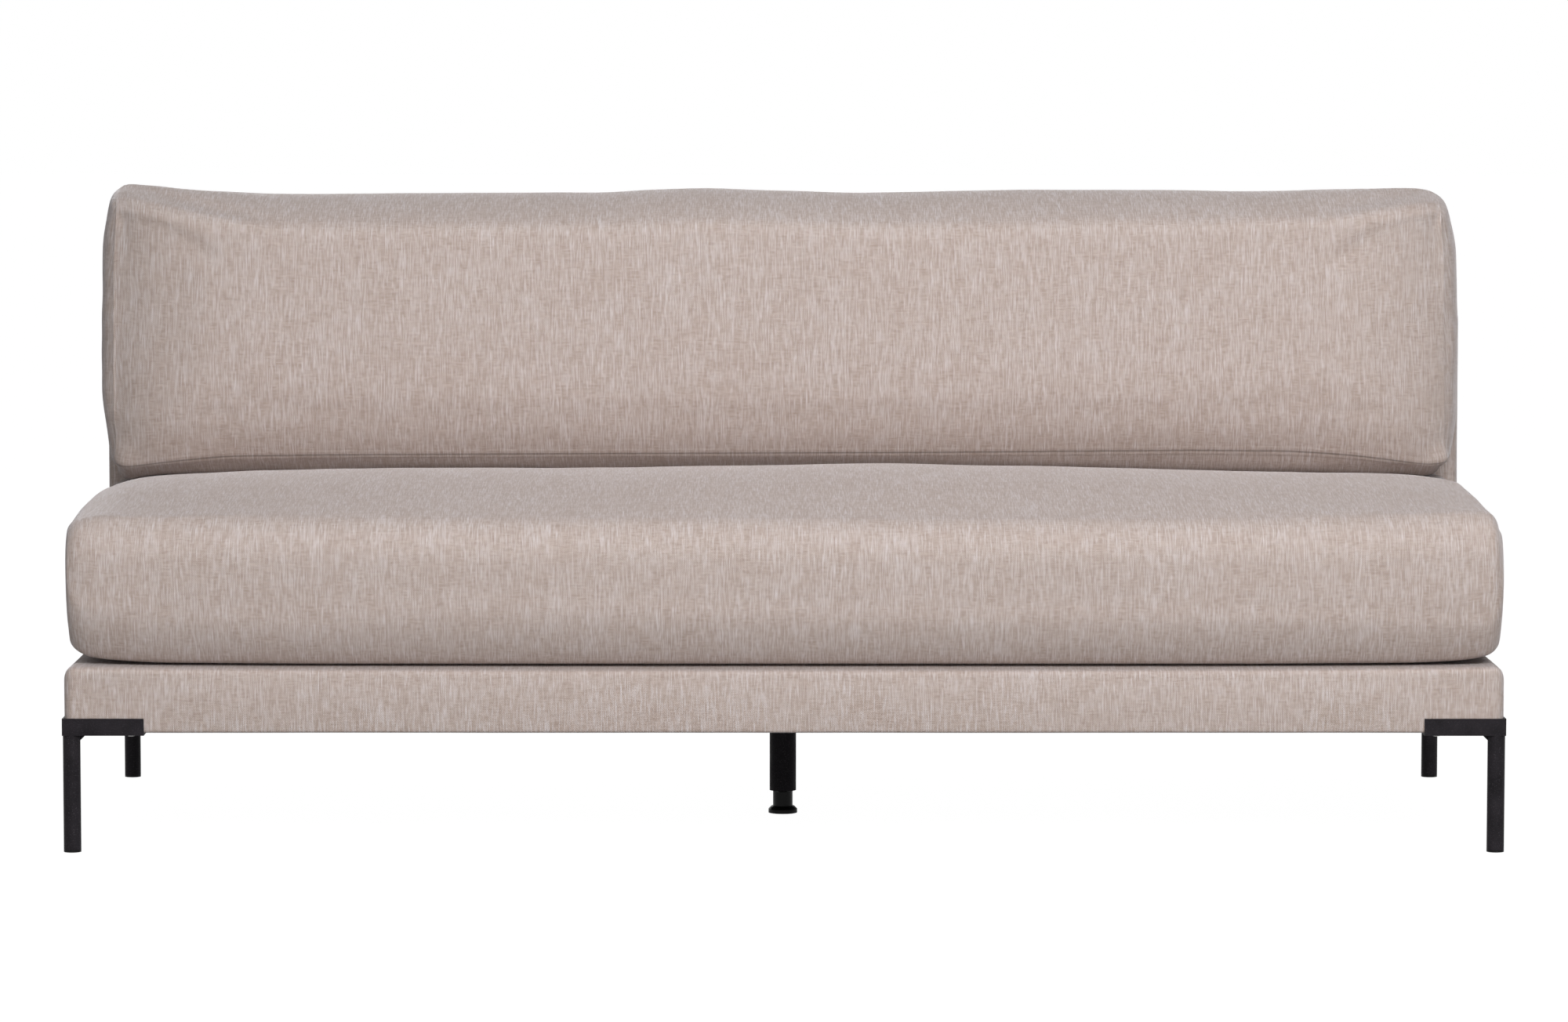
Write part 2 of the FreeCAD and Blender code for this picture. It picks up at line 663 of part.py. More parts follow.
def both_ends(half_stations):
    return [(-x, draw) for x, draw in half_stations] + [(x, draw) for x, draw in reversed(half_stations)]


# The back cushion leans on the rounded top edge of the back and stands on the seat's rear shelf.
lean = math.tan(math.radians(value("pillow_lean")))
edge_centre_y = value(f"{BACK_FRONT} + back_edge_radius")
edge_centre_z = value(f"{BACK_TOP} - back_edge_radius")
touch_y = edge_centre_y - value("back_edge_radius + cushion_gap")*math.hypot(1, lean)
seat_floor = value(f"{BASE_TOP} + cushion_gap")
seat_edge = seat_floor + value("seat_edge_height")
seat_shelf = seat_edge + value("seat_shelf_rise")
pillow_floor = seat_shelf + value("cushion_gap")


def pillow_rear(z):
    return touch_y + (z - edge_centre_z)*lean


shelf_front = pillow_rear(pillow_floor) - value("pillow_thickness + seat_shelf_margin")


def seat_section(x, draw, depth):
    """Section across the seat: bulged front, crowned top falling to the shelf, flat rear and bottom."""
    half = value(SEAT_WIDTH)/2
    inset = depth + draw*value("seat_end_draw")
    from_end = half - abs(x) + value("seat_end_round")
    share = 1 - (1 - min(from_end/value("crown_fall"), 1))**3
    front = value("seat_setback - base_depth/2") + inset
    rear = value(f"{BACK_FRONT} - seat_rear_gap") - inset
    floor = seat_floor + inset
    edge = seat_edge - inset
    shelf = edge + share*value("seat_shelf_rise")
    low = value("seat_bottom_radius") - inset
    high = value("seat_front_radius") - inset

    def at(y, z):
        return Vector(x*(half - depth)/half, y, z)

    front_low = at(front, floor + low)
    front_high = at(front, edge - high)
    belly = at(front - value("seat_front_bulge"), (floor + low + edge - high)/2)
    crown_start = at(front + high, edge)
    crown_top = at((front + high + shelf_front)/2, edge + share*value("seat_crown"))
    shelf_start = at(shelf_front, shelf)
    shelf_end = at(rear - low, shelf)
    return Part.Wire([
        corner_arc(at(front + low, floor), at(front, floor), front_low),
        arc(front_low, belly, front_high),
        corner_arc(front_high, at(front, edge), crown_start),
        arc(crown_start, crown_top, shelf_start),
        line(shelf_start, shelf_end),
        corner_arc(shelf_end, at(rear, shelf), at(rear, shelf - low)),
        line(at(rear, shelf - low), at(rear, floor + low)),
        corner_arc(at(rear, floor + low), at(rear, floor), at(rear - low, floor)),
        line(at(rear - low, floor), at(front + low, floor)),
    ])


def pillow_section(x, draw, depth):
    """Section across the back cushion: bulged front, rounded top, flat leaning rear."""
    half = value(PILLOW_WIDTH)/2
    side = depth + draw*value("pillow_side_draw")
    rise = depth + draw*value("pillow_end_draw")
    front = side
    rear = value("pillow_thickness") - side
    floor = rise
    dip = value("pillow_top_dip")*(1 - (x/half)**2)
    top = value("pillow_height") - dip - rise
    belly = value("pillow_bulge") - value("pillow_bulge - pillow_end_bulge")*(x/half)**4
    low = value("pillow_bottom_radius")*(1 - 0.5*draw) - depth
    high = value("pillow_top_radius")*(1 - 0.5*draw) - depth

    def at(across, up):
        y = pillow_rear(pillow_floor + up) - value("pillow_thickness") + across
        return Vector(x*(half - depth)/half, y, pillow_floor + up)

    return Part.Wire([
        line(at(front + low, floor), at(rear - low, floor)),
        corner_arc(at(rear - low, floor), at(rear, floor), at(rear, floor + low)),
        line(at(rear, floor + low), at(rear, top - high)),
        corner_arc(at(rear, top - high), at(rear, top), at(rear - high, top)),
        line(at(rear - high, top), at(front + high, top)),
        corner_arc(at(front + high, top), at(front, top), at(front, top - high)),
        arc(at(front, top - high), at(front - belly, (floor + low + top - high)/2), at(front, floor + low)),
        corner_arc(at(front, floor + low), at(front, floor), at(front + low, floor)),
    ])


def cushion(section, spots, depth):
    """Solid form of a cushion, a given depth inside its outer face."""
    return loft([section(x, draw, depth) for x, draw in spots])


def soft(label, shape):
    thing = doc.addObject("Part::Feature", label)
    thing.Shape = shape
    return node(thing, label)


def closed_cover(label, section, half, end_round, turns, slot, strip):
    """Cover with its zip opening, the strip that closes it, and the filling inside."""
    wall = value("cover_thickness")
    fall = value("crown_fall")
    outside = both_ends(stations(half, end_round, fall, turns, (0.1, 1)))
    inside = both_ends(stations(half, end_round, fall, (50,), (0.1, 1)))
    filling = both_ends(stations(half, end_round, fall, (), (0.1, 1)))
    shell = cushion(section, outside, 0).cut(cushion(section, inside, wall)).cut(slot)
    soft(f"{label}_cover", shell.Solids[0])
    soft(f"{label}_zip", strip)
    soft(f"{label}_filling", cushion(section, filling, wall + value("fit_clearance")))


def slab(centre, length, width, height):
    return Part.makeBox(length, width, height, centre - Vector(length, width, height)/2)


skin_depth = value("cover_thickness")
slack = 2*value("fit_clearance")
seat_zip = value(f"{SEAT_WIDTH} - 2*zip_end_margin")
pillow_zip = value(f"{PILLOW_WIDTH} - 2*zip_end_margin")
zip_width = value("zip_width")
seat_rear_wall = Vector(0, value(f"{BACK_FRONT} - seat_rear_gap") - skin_depth/2, (seat_floor + seat_shelf)/2)
closed_cover(
    "seat_cushion", seat_section, value(SEAT_WIDTH)/2, value("seat_end_round"), (90, 35),
    slab(seat_rear_wall, seat_zip, 2*skin_depth, zip_width),
    slab(seat_rear_wall, seat_zip - slack, skin_depth, zip_width - slack),
)

pillow_middle = pillow_rear(pillow_floor) - value("pillow_thickness/2")
pillow_bottom_wall = Vector(0, pillow_middle, pillow_floor + skin_depth/2)
closed_cover(
    "back_cushion", pillow_section, value(PILLOW_WIDTH)/2, value("pillow_end_round"), (90, 50, 20),
    slab(pillow_bottom_wall, pillow_zip, zip_width, 2*skin_depth),
    slab(pillow_bottom_wall, pillow_zip - slack, zip_width - slack, skin_depth),
)
doc.recompute()

failed = [thing.Name for thing in doc.Objects if {"Invalid", "Error"} & set(thing.State)]
broken = [thing.Label for thing in nodes if thing.Shape.isNull() or not thing.Shape.isValid()]
if failed or broken:
    raise RuntimeError(f"objects that failed: {failed}; shapes that are not valid: {broken}")

os.makedirs("parts", exist_ok=True)
for thing in nodes:
    thing.Shape.exportStep(f"parts/{thing.Label}.step")
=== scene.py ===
"""Looks of the dining banquette: soft pieces, materials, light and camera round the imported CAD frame.

Metres, +Z up, the front faces -Y, the same frame as the CAD model.
"""
import json
import math

import bmesh
import bpy
import numpy as np
from mathutils import Matrix, Vector, noise
from mathutils.bvhtree import BVHTree


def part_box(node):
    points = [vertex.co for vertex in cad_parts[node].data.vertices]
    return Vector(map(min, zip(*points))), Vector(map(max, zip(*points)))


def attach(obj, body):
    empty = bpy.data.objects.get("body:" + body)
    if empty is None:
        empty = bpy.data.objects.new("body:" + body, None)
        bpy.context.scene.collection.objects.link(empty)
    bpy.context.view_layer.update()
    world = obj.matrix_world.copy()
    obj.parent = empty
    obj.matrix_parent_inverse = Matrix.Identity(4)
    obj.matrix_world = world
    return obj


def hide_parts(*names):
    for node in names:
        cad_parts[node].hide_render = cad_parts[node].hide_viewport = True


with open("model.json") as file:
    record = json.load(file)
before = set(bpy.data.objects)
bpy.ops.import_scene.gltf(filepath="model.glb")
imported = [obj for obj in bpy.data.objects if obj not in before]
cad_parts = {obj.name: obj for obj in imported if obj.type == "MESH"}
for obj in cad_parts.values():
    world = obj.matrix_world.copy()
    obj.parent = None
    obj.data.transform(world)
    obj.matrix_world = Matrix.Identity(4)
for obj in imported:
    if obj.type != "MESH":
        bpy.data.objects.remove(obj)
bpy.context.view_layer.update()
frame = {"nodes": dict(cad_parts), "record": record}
nodes = frame["nodes"]


def smoothed(values, width):
    """A run of values averaged over a window that reaches the width to each side."""
    padded = np.pad(values, width, mode="reflect", reflect_type="odd")
    return np.convolve(padded, np.hanning(2*width + 1)/np.hanning(2*width + 1).sum(), mode="valid")


def curve(points, width=8):
    """A smooth function through (x, value) pairs, held at its last values beyond its ends."""
    xs, values = np.array(points, float).T
    fine = np.linspace(xs[0], xs[-1], 400)
    smooth = smoothed(np.interp(fine, xs, values), width)

    def at(x):
        return np.interp(x, fine, smooth)

    return at


# Shapes

def resample(points, count, crowd):
    """Points along a polyline, crowded towards its two ends when crowd is above 0."""
    steps = np.linalg.norm(np.diff(points, axis=0), axis=1)
    length = np.concatenate([[0], np.cumsum(steps)])
    t = np.linspace(0, 1, count + 1)
    t = t - crowd*np.sin(2*math.pi*t)/(2*math.pi)
    return np.column_stack([np.interp(t*length[-1], length, points[:, k]) for k in range(2)])


def round_corner(start, corner, end, weight=0.75, steps=14):
    """A soft quarter turn from start to end, drawn towards the corner by the weight."""
    t = np.linspace(0, 1, steps)[:, None]
    start, corner, end = map(np.array, (start, corner, end))
    top = (1 - t)**2*start + 2*weight*t*(1 - t)*corner + t**2*end
    return top/((1 - t)**2 + 2*weight*t*(1 - t) + t**2)


def section_ring(sides, counts, crowd=0.55):
    """A closed section from four sides, each a polyline that ends where the next one starts."""
    parts = [resample(np.array(side), count, crowd)[:-1] for side, count in zip(sides, counts)]
    return np.concatenate(parts)


def patch(ring, deep, tall, bulge, powers):
    """Points inside a ring of 2*(deep + tall) points, blended from its four sides and bulged along X."""
    corner = [0, deep, deep + tall, 2*deep + tall]
    bottom = ring[corner[0]:corner[1] + 1]
    front = ring[corner[1]:corner[2] + 1]
    top = ring[corner[2]:corner[3] + 1][::-1]
    rear = np.concatenate([ring[corner[3]:], ring[:1]])[::-1]
    grid = np.zeros((deep + 1, tall + 1, 3))
    for i in range(deep + 1):
        s = i/deep
        for j in range(tall + 1):
            t = j/tall
            grid[i, j] = ((1 - t)*bottom[i] + t*top[i] + (1 - s)*rear[j] + s*front[j]
                          - (1 - s)*(1 - t)*bottom[0] - s*(1 - t)*bottom[-1]
                          - (1 - s)*t*top[0] - s*t*top[-1])
            grid[i, j, 0] += bulge*(4*s*(1 - s))**powers[0]*(4*t*(1 - t))**powers[1]
    return grid


END_MAP_SHIFT = 5.0   # metres along the weave map, so that an end's threads differ from the girth's


def wrapped(name, rings, deep, tall, bulges, powers=(0.5, 0.5)):
    """A closed mesh from rings along X, with a patch on each end and a weave map in metres."""
    rings = np.array(rings)
    count, around, _ = rings.shape
    points = list(rings.reshape(-1, 3))
    faces, maps = [], []
    along = np.linalg.norm(np.diff(rings, axis=0), axis=2).mean(axis=1)
    u = np.concatenate([[0], np.cumsum(along)]) - along.sum()/2
    middle = rings[count//2]
    girth = np.linalg.norm(np.diff(np.concatenate([middle, middle[:1]]), axis=0), axis=1)
    v = np.concatenate([[0], np.cumsum(girth)])
    for i in range(count - 1):
        for j in range(around):
            k = (j + 1) % around
            faces.append((i*around + j, (i + 1)*around + j, (i + 1)*around + k, i*around + k))
            maps.append(((u[i], v[j]), (u[i + 1], v[j]), (u[i + 1], v[j + 1]), (u[i], v[j + 1])))
    for end, bulge in ((0, -bulges[0]), (count - 1, bulges[1])):
        ring = rings[end]
        grid = patch(ring, deep, tall, bulge, powers)
        index = np.zeros((deep + 1, tall + 1), int)
        for i in range(deep + 1):
            for j in range(tall + 1):
                if j == 0:
                    spot = i
                elif i == deep:
                    spot = deep + j
                elif j == tall:
                    spot = deep + tall + (deep - i)
                elif i == 0:
                    spot = 2*deep + tall + (tall - j)
                else:
                    points.append(grid[i, j])
                    index[i, j] = len(points) - 1
                    continue
                index[i, j] = end*around + spot % around
        for i in range(deep):
            for j in range(tall):
                quad = [(i, j), (i + 1, j), (i + 1, j + 1), (i, j + 1)]
                if end > 0:
                    quad = quad[::-1]
                faces.append(tuple(int(index[spot]) for spot in quad))
                maps.append(tuple((grid[spot][1] + END_MAP_SHIFT, grid[spot][2]) for spot in quad))
    mesh = bpy.data.meshes.new(name)
    mesh.from_pydata([tuple(p) for p in points], [], faces)
    layer = mesh.uv_layers.new(name="weave")
    layer.data.foreach_set("uv", np.array(maps, np.float32).ravel())
    mesh.polygons.foreach_set("use_smooth", [True]*len(mesh.polygons))
    mesh.update()
    made = bpy.data.objects.new(name, mesh)
    bpy.context.scene.collection.objects.link(made)
    return made


def coordinates(thing):
    """A mesh's points as rows of x, y and z."""
    co = np.zeros(len(thing.data.vertices)*3)
    thing.data.vertices.foreach_get("co", co)
    return co.reshape(-1, 3)


def reshape(thing, co):
    """Moves a mesh's points to the given rows."""
    thing.data.vertices.foreach_set("co", np.asarray(co, np.float32).ravel())
    thing.data.update()


def spread_values(thing, name, values):
    """Keeps one number per point, for the material to read."""
    layer = thing.data.attributes.new(name, "FLOAT", "POINT")
    layer.data.foreach_set("value", np.asarray(values, np.float32))


def ripple(co, scale, seed):
    """Smooth noise in -1..1 at each point, the same in every run."""
    offset = Vector((seed*3.7, seed*1.3, seed*2.1))
    return np.array([noise.noise(Vector(p*scale) + offset) for p in co])


CLOTH_FRAMES = 20
CLOTH_PRESSURE = 4.0
CLOTH_SLACK = 0.001


def point_normals(thing):
    return np.array([v.normal for v in thing.data.vertices])


def inflate(thing, held):
    """Cloth under pressure: a skin drawn in by the slack swells again, by three times that at most."""
    start = coordinates(thing) - point_normals(thing)*(CLOTH_SLACK*(1 - held))[:, None]
    reshape(thing, start)
    cap = 3*CLOTH_SLACK
    group = thing.vertex_groups.new(name="held")
    for index, weight in enumerate(held):
        if weight > 0.01:
            group.add([index], float(weight), "REPLACE")
    cloth = thing.modifiers.new("cloth", "CLOTH")
    cloth.settings.quality = 6
    cloth.settings.mass = 0.3
    cloth.settings.tension_stiffness = 12
    cloth.settings.compression_stiffness = 12
    cloth.settings.shear_stiffness = 8
    cloth.settings.bending_stiffness = 3
    cloth.settings.use_pressure = True
    cloth.settings.uniform_pressure_force = CLOTH_PRESSURE
    cloth.settings.vertex_group_mass = "held"
    cloth.settings.pin_stiffness = 1
    cloth.settings.effector_weights.gravity = 0
    cloth.collision_settings.use_collision = False
    cloth.point_cache.frame_start = 1
    cloth.point_cache.frame_end = CLOTH_FRAMES
    scene = bpy.context.scene
    for number in range(1, CLOTH_FRAMES + 1):
        scene.frame_set(number)
    shown = thing.evaluated_get(bpy.context.evaluated_depsgraph_get()).to_mesh()
    moved = np.zeros(len(shown.vertices)*3)
    shown.vertices.foreach_get("co", moved)
    thing.modifiers.remove(cloth)
    thing.vertex_groups.remove(group)
    scene.frame_set(1)
    step = moved.reshape(-1, 3) - start
    length = np.linalg.norm(step, axis=1, keepdims=True)
    reshape(thing, start + step*np.minimum(1, cap/np.maximum(length, 1e-9)))


def upholster(thing, seam):
    """Fabric with its seams on a soft piece, smoothed once; the fabric paints shade along the seams."""
    spread_values(thing, "seam", seam)
    thing.data.materials.append(fabric)
    modifier = thing.modifiers.new("smooth", "SUBSURF")
    modifier.levels = 1
    modifier.render_levels = 1


# Materials

class Nodes:
    """Short calls for a material's node tree."""

    def __init__(self, name):
        self.material = bpy.data.materials.new(name)
        self.material.use_nodes = True
        self.tree = self.material.node_tree
        self.shader = self.tree.nodes["Principled BSDF"]

    def add(self, kind, **values):
        made = self.tree.nodes.new(kind)
        for name, setting in values.items():
            setattr(made, name, setting)
        return made

    def link(self, source, target):
        self.tree.links.new(source, target)

    def feed(self, socket, source):
        if hasattr(source, "is_output"):
            self.link(source, socket)
        else:
            socket.default_value = source

    def math(self, operation, a, b=0.0):
        made = self.add("ShaderNodeMath", operation=operation)
        self.feed(made.inputs[0], a)
        self.feed(made.inputs[1], b)
        return made.outputs[0]

    def mapped(self, value, low, high, new_low=0.0, new_high=1.0):
        made = self.add("ShaderNodeMapRange", clamp=True)
        self.feed(made.inputs["Value"], value)
        ends = {"From Min": low, "From Max": high, "To Min": new_low, "To Max": new_high}
        for name, number in ends.items():
            made.inputs[name].default_value = number
        return made.outputs[0]

    def times(self, a, b):
        return self.math("MULTIPLY", a, b)

    def join(self, x, y, z=0.0):
        made = self.add("ShaderNodeCombineXYZ")
        for socket, source in zip(made.inputs, (x, y, z)):
            self.feed(socket, source)
        return made.outputs[0]

    def noise(self, vector, scale, detail=2.0, rough=0.5):
        made = self.add("ShaderNodeTexNoise")
        self.feed(made.inputs["Vector"], vector)
        made.inputs["Scale"].default_value = scale
        made.inputs["Detail"].default_value = detail
        made.inputs["Roughness"].default_value = rough
        return made.outputs["Fac"]

    def mix(self, share, a, b, blend="MIX"):
        made = self.add("ShaderNodeMix", data_type="RGBA", blend_type=blend)
        self.feed(made.inputs[0], share)
        self.feed(made.inputs[6], a)
        self.feed(made.inputs[7], b)
        return made.outputs[2]

    def bump(self, height, distance, strength, below=None):
        made = self.add("ShaderNodeBump")
        self.feed(made.inputs["Height"], height)
        made.inputs["Distance"].default_value = distance
        made.inputs["Strength"].default_value = strength
        if below is not None:
            self.link(below, made.inputs["Normal"])
        return made.outputs[0]

    def set(self, **values):
        for name, setting in values.items():
            self.feed(self.shader.inputs[name.replace("_", " ")], setting)

    def place(self):
        """The point on the surface in metres."""
        return self.add("ShaderNodeTexCoord").outputs["Object"]

    def parts(self, vector):
        made = self.add("ShaderNodeSeparateXYZ")
        self.link(vector, made.inputs[0])
        return made.outputs


def rgb(red, green, blue):
    """A colour from display values of 0 to 255."""
    return tuple(((c/255 + 0.055)/1.055)**2.4 if c > 10 else c/3294.6 for c in (red, green, blue)) + (1.0,)


def upholstery():
    """Plain-weave melange: pale slubs along the warp, brown weft, a fine weave, and drawn-in seams with
    painted shade along them.
    """
    n = Nodes("upholstery")
    pitch = 0.0023   # of the woven relief
    yarn = 0.0010    # width of one coloured thread
    slub_rate, weft_rate, pucker_rate = 44.0, 70.0, 60.0   # noise cycles in a metre
    uv = n.add("ShaderNodeUVMap", uv_map="weave").outputs[0]
    u, v, _ = n.parts(uv)
    warp = n.math("FLOOR", n.math("DIVIDE", u, yarn))
    weft = n.math("FLOOR", n.math("DIVIDE", v, yarn))
    slub = n.noise(n.join(n.times(warp, 3.71), n.times(v, slub_rate), 1.7), 1.0, 2.0, 0.6)
    cross = n.noise(n.join(n.times(u, weft_rate), n.times(weft, 2.93), 6.1), 1.0, 2.0, 0.6)
    cloud = n.noise(n.join(n.times(u, 26.0), n.times(v, 9.0), 3.3), 1.0, 3.0, 0.55)
    ground = n.mix(n.mapped(cross, 0.32, 0.68), rgb(174, 157, 148), rgb(197, 182, 175))
    pale = n.mapped(n.math("ADD", slub, n.times(n.math("SUBTRACT", cloud, 0.5), 0.14)), 0.46, 0.74)
    thread = n.mix(pale, ground, rgb(214, 206, 206))
    brown = n.mapped(slub, 0.24, 0.44, 1.0, 0.0)
    thread = n.mix(n.times(brown, 0.48), thread, rgb(158, 140, 131))
    across = n.math("SINE", n.times(u, 2*math.pi/pitch))
    along = n.math("SINE", n.times(v, 2*math.pi/pitch))
    weave = n.times(across, along)
    shade = n.mapped(weave, -1.0, 1.0, 0.84, 1.06)
    seam = n.add("ShaderNodeAttribute", attribute_name="seam").outputs["Fac"]
    # Painted shade: the colour is darkened along the seams, down to half on a seam's line.
    dark = n.mapped(seam, 0.80, 1.0, 1.0, 0.50)
    weave_and_seam_shade = n.times(shade, dark)
    colour = n.mix(1.0, thread, n.join(weave_and_seam_shade, weave_and_seam_shade, weave_and_seam_shade), "MULTIPLY")
    drawn = n.noise(n.join(n.times(u, pucker_rate), n.times(v, pucker_rate), 9.4), 1.0, 2.0, 0.5)
    pucker = n.times(drawn, n.mapped(seam, 0.05, 0.5))
    soft = n.bump(pucker, 0.004, 0.35)
    normal = n.bump(weave, 0.0006, 0.30, n.bump(slub, 0.0008, 0.35, soft))
    n.set(Base_Color=colour, Roughness=n.mapped(slub, 0.2, 0.8, 0.95, 0.80), Normal=normal)
    n.set(Specular_IOR_Level=0.14, Sheen_Weight=0.72, Sheen_Roughness=0.36, Sheen_Tint=rgb(228, 226, 230))
    return n.material


def powder_coat():
    """Fine-texture black powder coat, a little rubbed and uneven in gloss."""
    n = Nodes("powder_coat")
    p = n.place()
    grain = n.noise(p, 1400.0, 3.0, 0.6)
    broad = n.noise(p, 35.0, 2.0)
    fleck = n.mapped(n.noise(p, 900.0, 1.0), 0.62, 0.72)
    colour = n.mix(n.mapped(broad, 0.3, 0.7), rgb(28, 26, 29), rgb(42, 39, 43))
    colour = n.mix(n.times(fleck, 0.42), colour, rgb(94, 90, 96))
    n.set(Base_Color=colour, Roughness=n.mapped(broad, 0.3, 0.7, 0.50, 0.68),
          Normal=n.bump(grain, 0.0005, 0.45), Specular_IOR_Level=0.07)
    return n.material


def black_plastic(name, gloss):
    """Moulded black plastic with a faint spark-eroded grain."""
    n = Nodes(name)
    p = n.place()
    grain = n.noise(p, 2200.0, 2.0)
    broad = n.noise(p, 60.0, 2.0)
    n.set(Base_Color=n.mix(broad, rgb(6, 6, 6), rgb(13, 12, 12)),
          Roughness=n.mapped(broad, 0.3, 0.7, gloss, gloss + 0.15), Normal=n.bump(grain, 0.0003, 0.3))
    n.set(Specular_IOR_Level=0.12)
    return n.material


def zinc():
    """Zinc-plated screws with a mottled passivation."""
    n = Nodes("zinc_steel")
    p = n.place()
    mottle = n.noise(p, 260.0, 3.0)
    n.set(Base_Color=n.mix(mottle, rgb(176, 174, 166), rgb(206, 206, 208)),
          Roughness=n.mapped(mottle, 0.3, 0.7, 0.28, 0.45), Normal=n.bump(mottle, 0.0004, 0.2))
    n.set(Metallic=1.0)
    return n.material


def timber():
    """Planed softwood with grain along X and wider early wood."""
    n = Nodes("timber")
    x, y, z = n.parts(n.place())
    stretched = n.join(n.times(x, 2.2), n.times(y, 60.0), n.times(z, 60.0))
    ring = n.math("FRACT", n.times(n.noise(stretched, 1.0, 3.0, 0.55), 9.0))
    fibre = n.noise(n.join(n.times(x, 40.0), n.times(y, 900.0), n.times(z, 900.0)), 1.0, 2.0)
    colour = n.mix(ring, rgb(214, 180, 132), rgb(178, 134, 84))
    colour = n.mix(n.times(fibre, 0.3), colour, rgb(146, 104, 62))
    n.set(Base_Color=colour, Roughness=n.mapped(fibre, 0.3, 0.7, 0.55, 0.75),
          Normal=n.bump(fibre, 0.0004, 0.3))
    return n.material


def hardboard():
    """Pressed brown fibre board with matted fibres."""
    n = Nodes("hardboard")
    p = n.place()
    fibre = n.noise(p, 420.0, 4.0, 0.7)
    n.set(Base_Color=n.mix(fibre, rgb(98, 70, 46), rgb(142, 108, 76)),
          Roughness=n.mapped(fibre, 0.3, 0.7, 0.45, 0.65), Normal=n.bump(fibre, 0.0004, 0.35))
    return n.material


def woven_tape(name, dark, light, pitch):
    """Narrow woven belt or tape with ribs across it."""
    n = Nodes(name)
    x, y, z = n.parts(n.place())
    run = n.math("ADD", y, z)
    weave = n.times(n.math("SINE", n.times(x, 2*math.pi/pitch)),
                    n.math("SINE", n.times(run, 2*math.pi/pitch)))
    share = n.mapped(weave, -1.0, 1.0)
    n.set(Base_Color=n.mix(share, dark, light), Roughness=n.mapped(weave, -1.0, 1.0, 0.9, 0.75),
          Normal=n.bump(weave, 0.0006, 0.4))
    return n.material


def matted(name, dark, light, scale, depth):
    """Felt, foam or spun-bonded cloth: fibres or cells with no weave."""
    n = Nodes(name)
    p = n.place()
    fibre = n.noise(p, scale, 4.0, 0.7)
    broad = n.noise(p, scale/30, 2.0)
    colour = n.mix(fibre, dark, light)
    n.set(Base_Color=n.mix(n.times(broad, 0.3), colour, dark),
          Roughness=n.mapped(fibre, 0.3, 0.7, 0.95, 0.85), Normal=n.bump(fibre, depth, 0.5))
    return n.material


fabric = upholstery()
FINISHES = {
    "upholstery": fabric,
    "powder_coat": powder_coat(),
    "black_plastic": black_plastic("black_plastic", 0.45),
    "black_steel": black_plastic("black_steel", 0.30),
    "zinc_steel": zinc(),
    "timber": timber(),
    "hardboard": hardboard(),
    "webbing": woven_tape("webbing", rgb(34, 33, 32), rgb(74, 71, 68), 0.0030),
    "zip_tape": woven_tape("zip_tape", rgb(92, 80, 73), rgb(134, 119, 110), 0.0012),
    "felt": matted("felt", rgb(140, 136, 130), rgb(186, 182, 174), 700.0, 0.0008),
    "dust_cloth": matted("dust_cloth", rgb(20, 20, 20), rgb(46, 45, 45), 900.0, 0.0004),
    "foam": matted("foam", rgb(206, 196, 160), rgb(236, 228, 200), 500.0, 0.0010),
}
for part in frame["record"]["subparts"]:
    skin = nodes[part["node"]].data.materials
    skin.clear()
    skin.append(FINISHES[part["material_slot"]])


# Upholstered base and back

def box_ring(x, low, high, radius, counts, swell):
    """Section across an upholstered box: rounded upper edges, a squarer underside, sides a little full."""
    (front, floor), (rear, top) = low, high
    small = 0.35*radius
    tall = np.linspace(0, 1, 12)

    def side(y, start, end, out):
        z = start + (end - start)*tall
        return np.column_stack([y + out*swell*4*tall*(1 - tall), z])

    front_low = round_corner((front + small, floor), (front, floor), (front, floor + small))
    crisp = 0.62*radius
    front_top = round_corner((front, top - crisp), (front, top), (front + crisp, top))
    rear_top = round_corner((rear - radius, top), (rear, top), (rear, top - radius))
    rear_low = round_corner((rear, floor + small), (rear, floor), (rear - small, floor))
    front_face = side(front, floor + small, top - crisp, -1)
    rear_face = side(rear, top - radius, floor + small, 1)
    half = len(front_low)//2
    sides = [
        np.concatenate([rear_low[half:], front_low[:half + 1]]),
        np.concatenate([front_low[half:], front_face[1:], front_top[1:half + 1]]),
        np.concatenate([front_top[half:], rear_top[:half + 1]]),
        np.concatenate([rear_top[half:], rear_face[1:], rear_low[1:half + 1]]),
    ]
    ring = section_ring(sides, counts)
    return np.column_stack([np.full(len(ring), x), ring])


def box_stations(half, radius, pitch):
    """Places along X with the inset of the section there: quarter turns at both ends."""
    angles = np.radians([90, 62, 36, 14, 0])
    end = [(half - radius*(1 - math.sin(a)), radius*(1 - math.cos(a))) for a in angles]
    end += [(half - radius - step, 0.0) for step in (0.006, 0.014, 0.026)]
    inner = end[-1][0]
    middle = np.linspace(-inner, inner, int(2*inner/pitch))[1:-1]
    return [(-x, inset) for x, inset in end] + [(x, 0.0) for x in middle] + end[::-1]


STATION_PITCH = 0.018
END_BULGE = 0.0018


